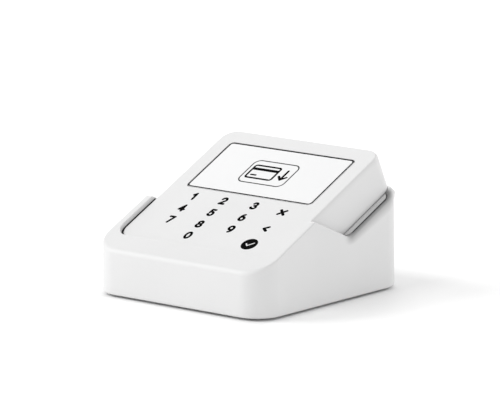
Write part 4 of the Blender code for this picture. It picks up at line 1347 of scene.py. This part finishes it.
def floor_look(tree, coords):
    """Nearly white, with a faint glow that starts outside the object and its shadow."""
    split = add_node(tree, "SeparateXYZ", {"Vector": coords}).outputs
    squares, outside = [], []
    for axis, (middle, near) in enumerate(zip(FLOOR_MIDDLE, FLOOR_NEAR)):
        reach = maths(tree, "ABSOLUTE", split[axis])
        outside.append(maths(tree, "SUBTRACT", reach, SHELL_HIGH[axis] * MM))
        aside = maths(tree, "ABSOLUTE", maths(tree, "SUBTRACT", split[axis], middle))
        aside = maths(tree, "MAXIMUM", maths(tree, "SUBTRACT", aside, near))
        squares.append(maths(tree, "MULTIPLY", aside, aside))
    away = maths(tree, "SQRT", maths(tree, "ADD", *squares))
    glow = remap(tree, away, 0.0, FLOOR_FADE, 0.0, FLOOR_GLOW)
    clear = remap(tree, maths(tree, "MAXIMUM", *outside), 0.0, FLOOR_CLEAR, 0.0, 1.0)
    return {
        "Base Color": blend_colours(tree, noise(tree, coords, 3.0, 2.0),
                                    (0.95, 0.95, 0.95), (0.97, 0.97, 0.97)),
        "Emission Color": (1.0, 1.0, 1.0),
        "Emission Strength": maths(tree, "MULTIPLY", glow, clear),
        "Roughness": 0.8,
        "Specular IOR Level": 0.1,
    }


def add_floor():
    """A plain, nearly white table top."""
    floor = new_object("floor", lambda bm: bmesh.ops.create_grid(bm, x_segments=8, y_segments=8,
                                                                 size=6.0))
    floor.data.materials.append(shader_material("floor_white", floor_look))


def add_facing(name, data, target, azimuth, elevation, distance, roll=0.0):
    """A lamp or camera that looks at target from an angle round from the front and one up."""
    a, e = math.radians(azimuth), math.radians(elevation)
    away = Vector((math.sin(a) * math.cos(e), -math.cos(a) * math.cos(e), math.sin(e)))
    turn = (-away).to_track_quat("-Z", "Y").to_matrix().to_4x4()
    placed = bpy.data.objects.new(name, data)
    bpy.context.scene.collection.objects.link(placed)
    placed.location = target + away * distance
    placed.rotation_mode = "QUATERNION"
    placed.rotation_quaternion = (turn @ Matrix.Rotation(math.radians(roll), 4, "Z")
                                  ).to_quaternion()
    return placed


def add_lights():
    """Square soft lights and an even white surround."""
    for name, azimuth, elevation, power in LIGHTS:
        data = bpy.data.lights.new(name, "AREA")
        data.shape = "SQUARE"
        data.size = LIGHT_SIZE
        data.energy = power
        add_facing(name, data, LIGHT_AIM, azimuth, elevation, LIGHT_DISTANCE)
    world = bpy.data.worlds.new("surround")
    world.use_nodes = True
    background = world.node_tree.nodes["Background"]
    background.inputs["Color"].default_value = (1, 1, 1, 1)
    background.inputs["Strength"].default_value = SURROUND
    bpy.context.scene.world = world


def add_camera():
    """A long-lens camera, low and from the front right."""
    data = bpy.data.cameras.new("camera")
    data.lens = CAMERA_LENS
    data.sensor_width = 36.0
    data.clip_start, data.clip_end = 0.05, 50.0
    bpy.context.scene.camera = add_facing("camera", data, CAMERA_TARGET, CAMERA_AZIMUTH,
                                          CAMERA_ELEVATION, CAMERA_DISTANCE, CAMERA_ROLL)


add_floor()
add_lights()
add_camera()
bpy.context.scene.view_settings.view_transform = "Standard"
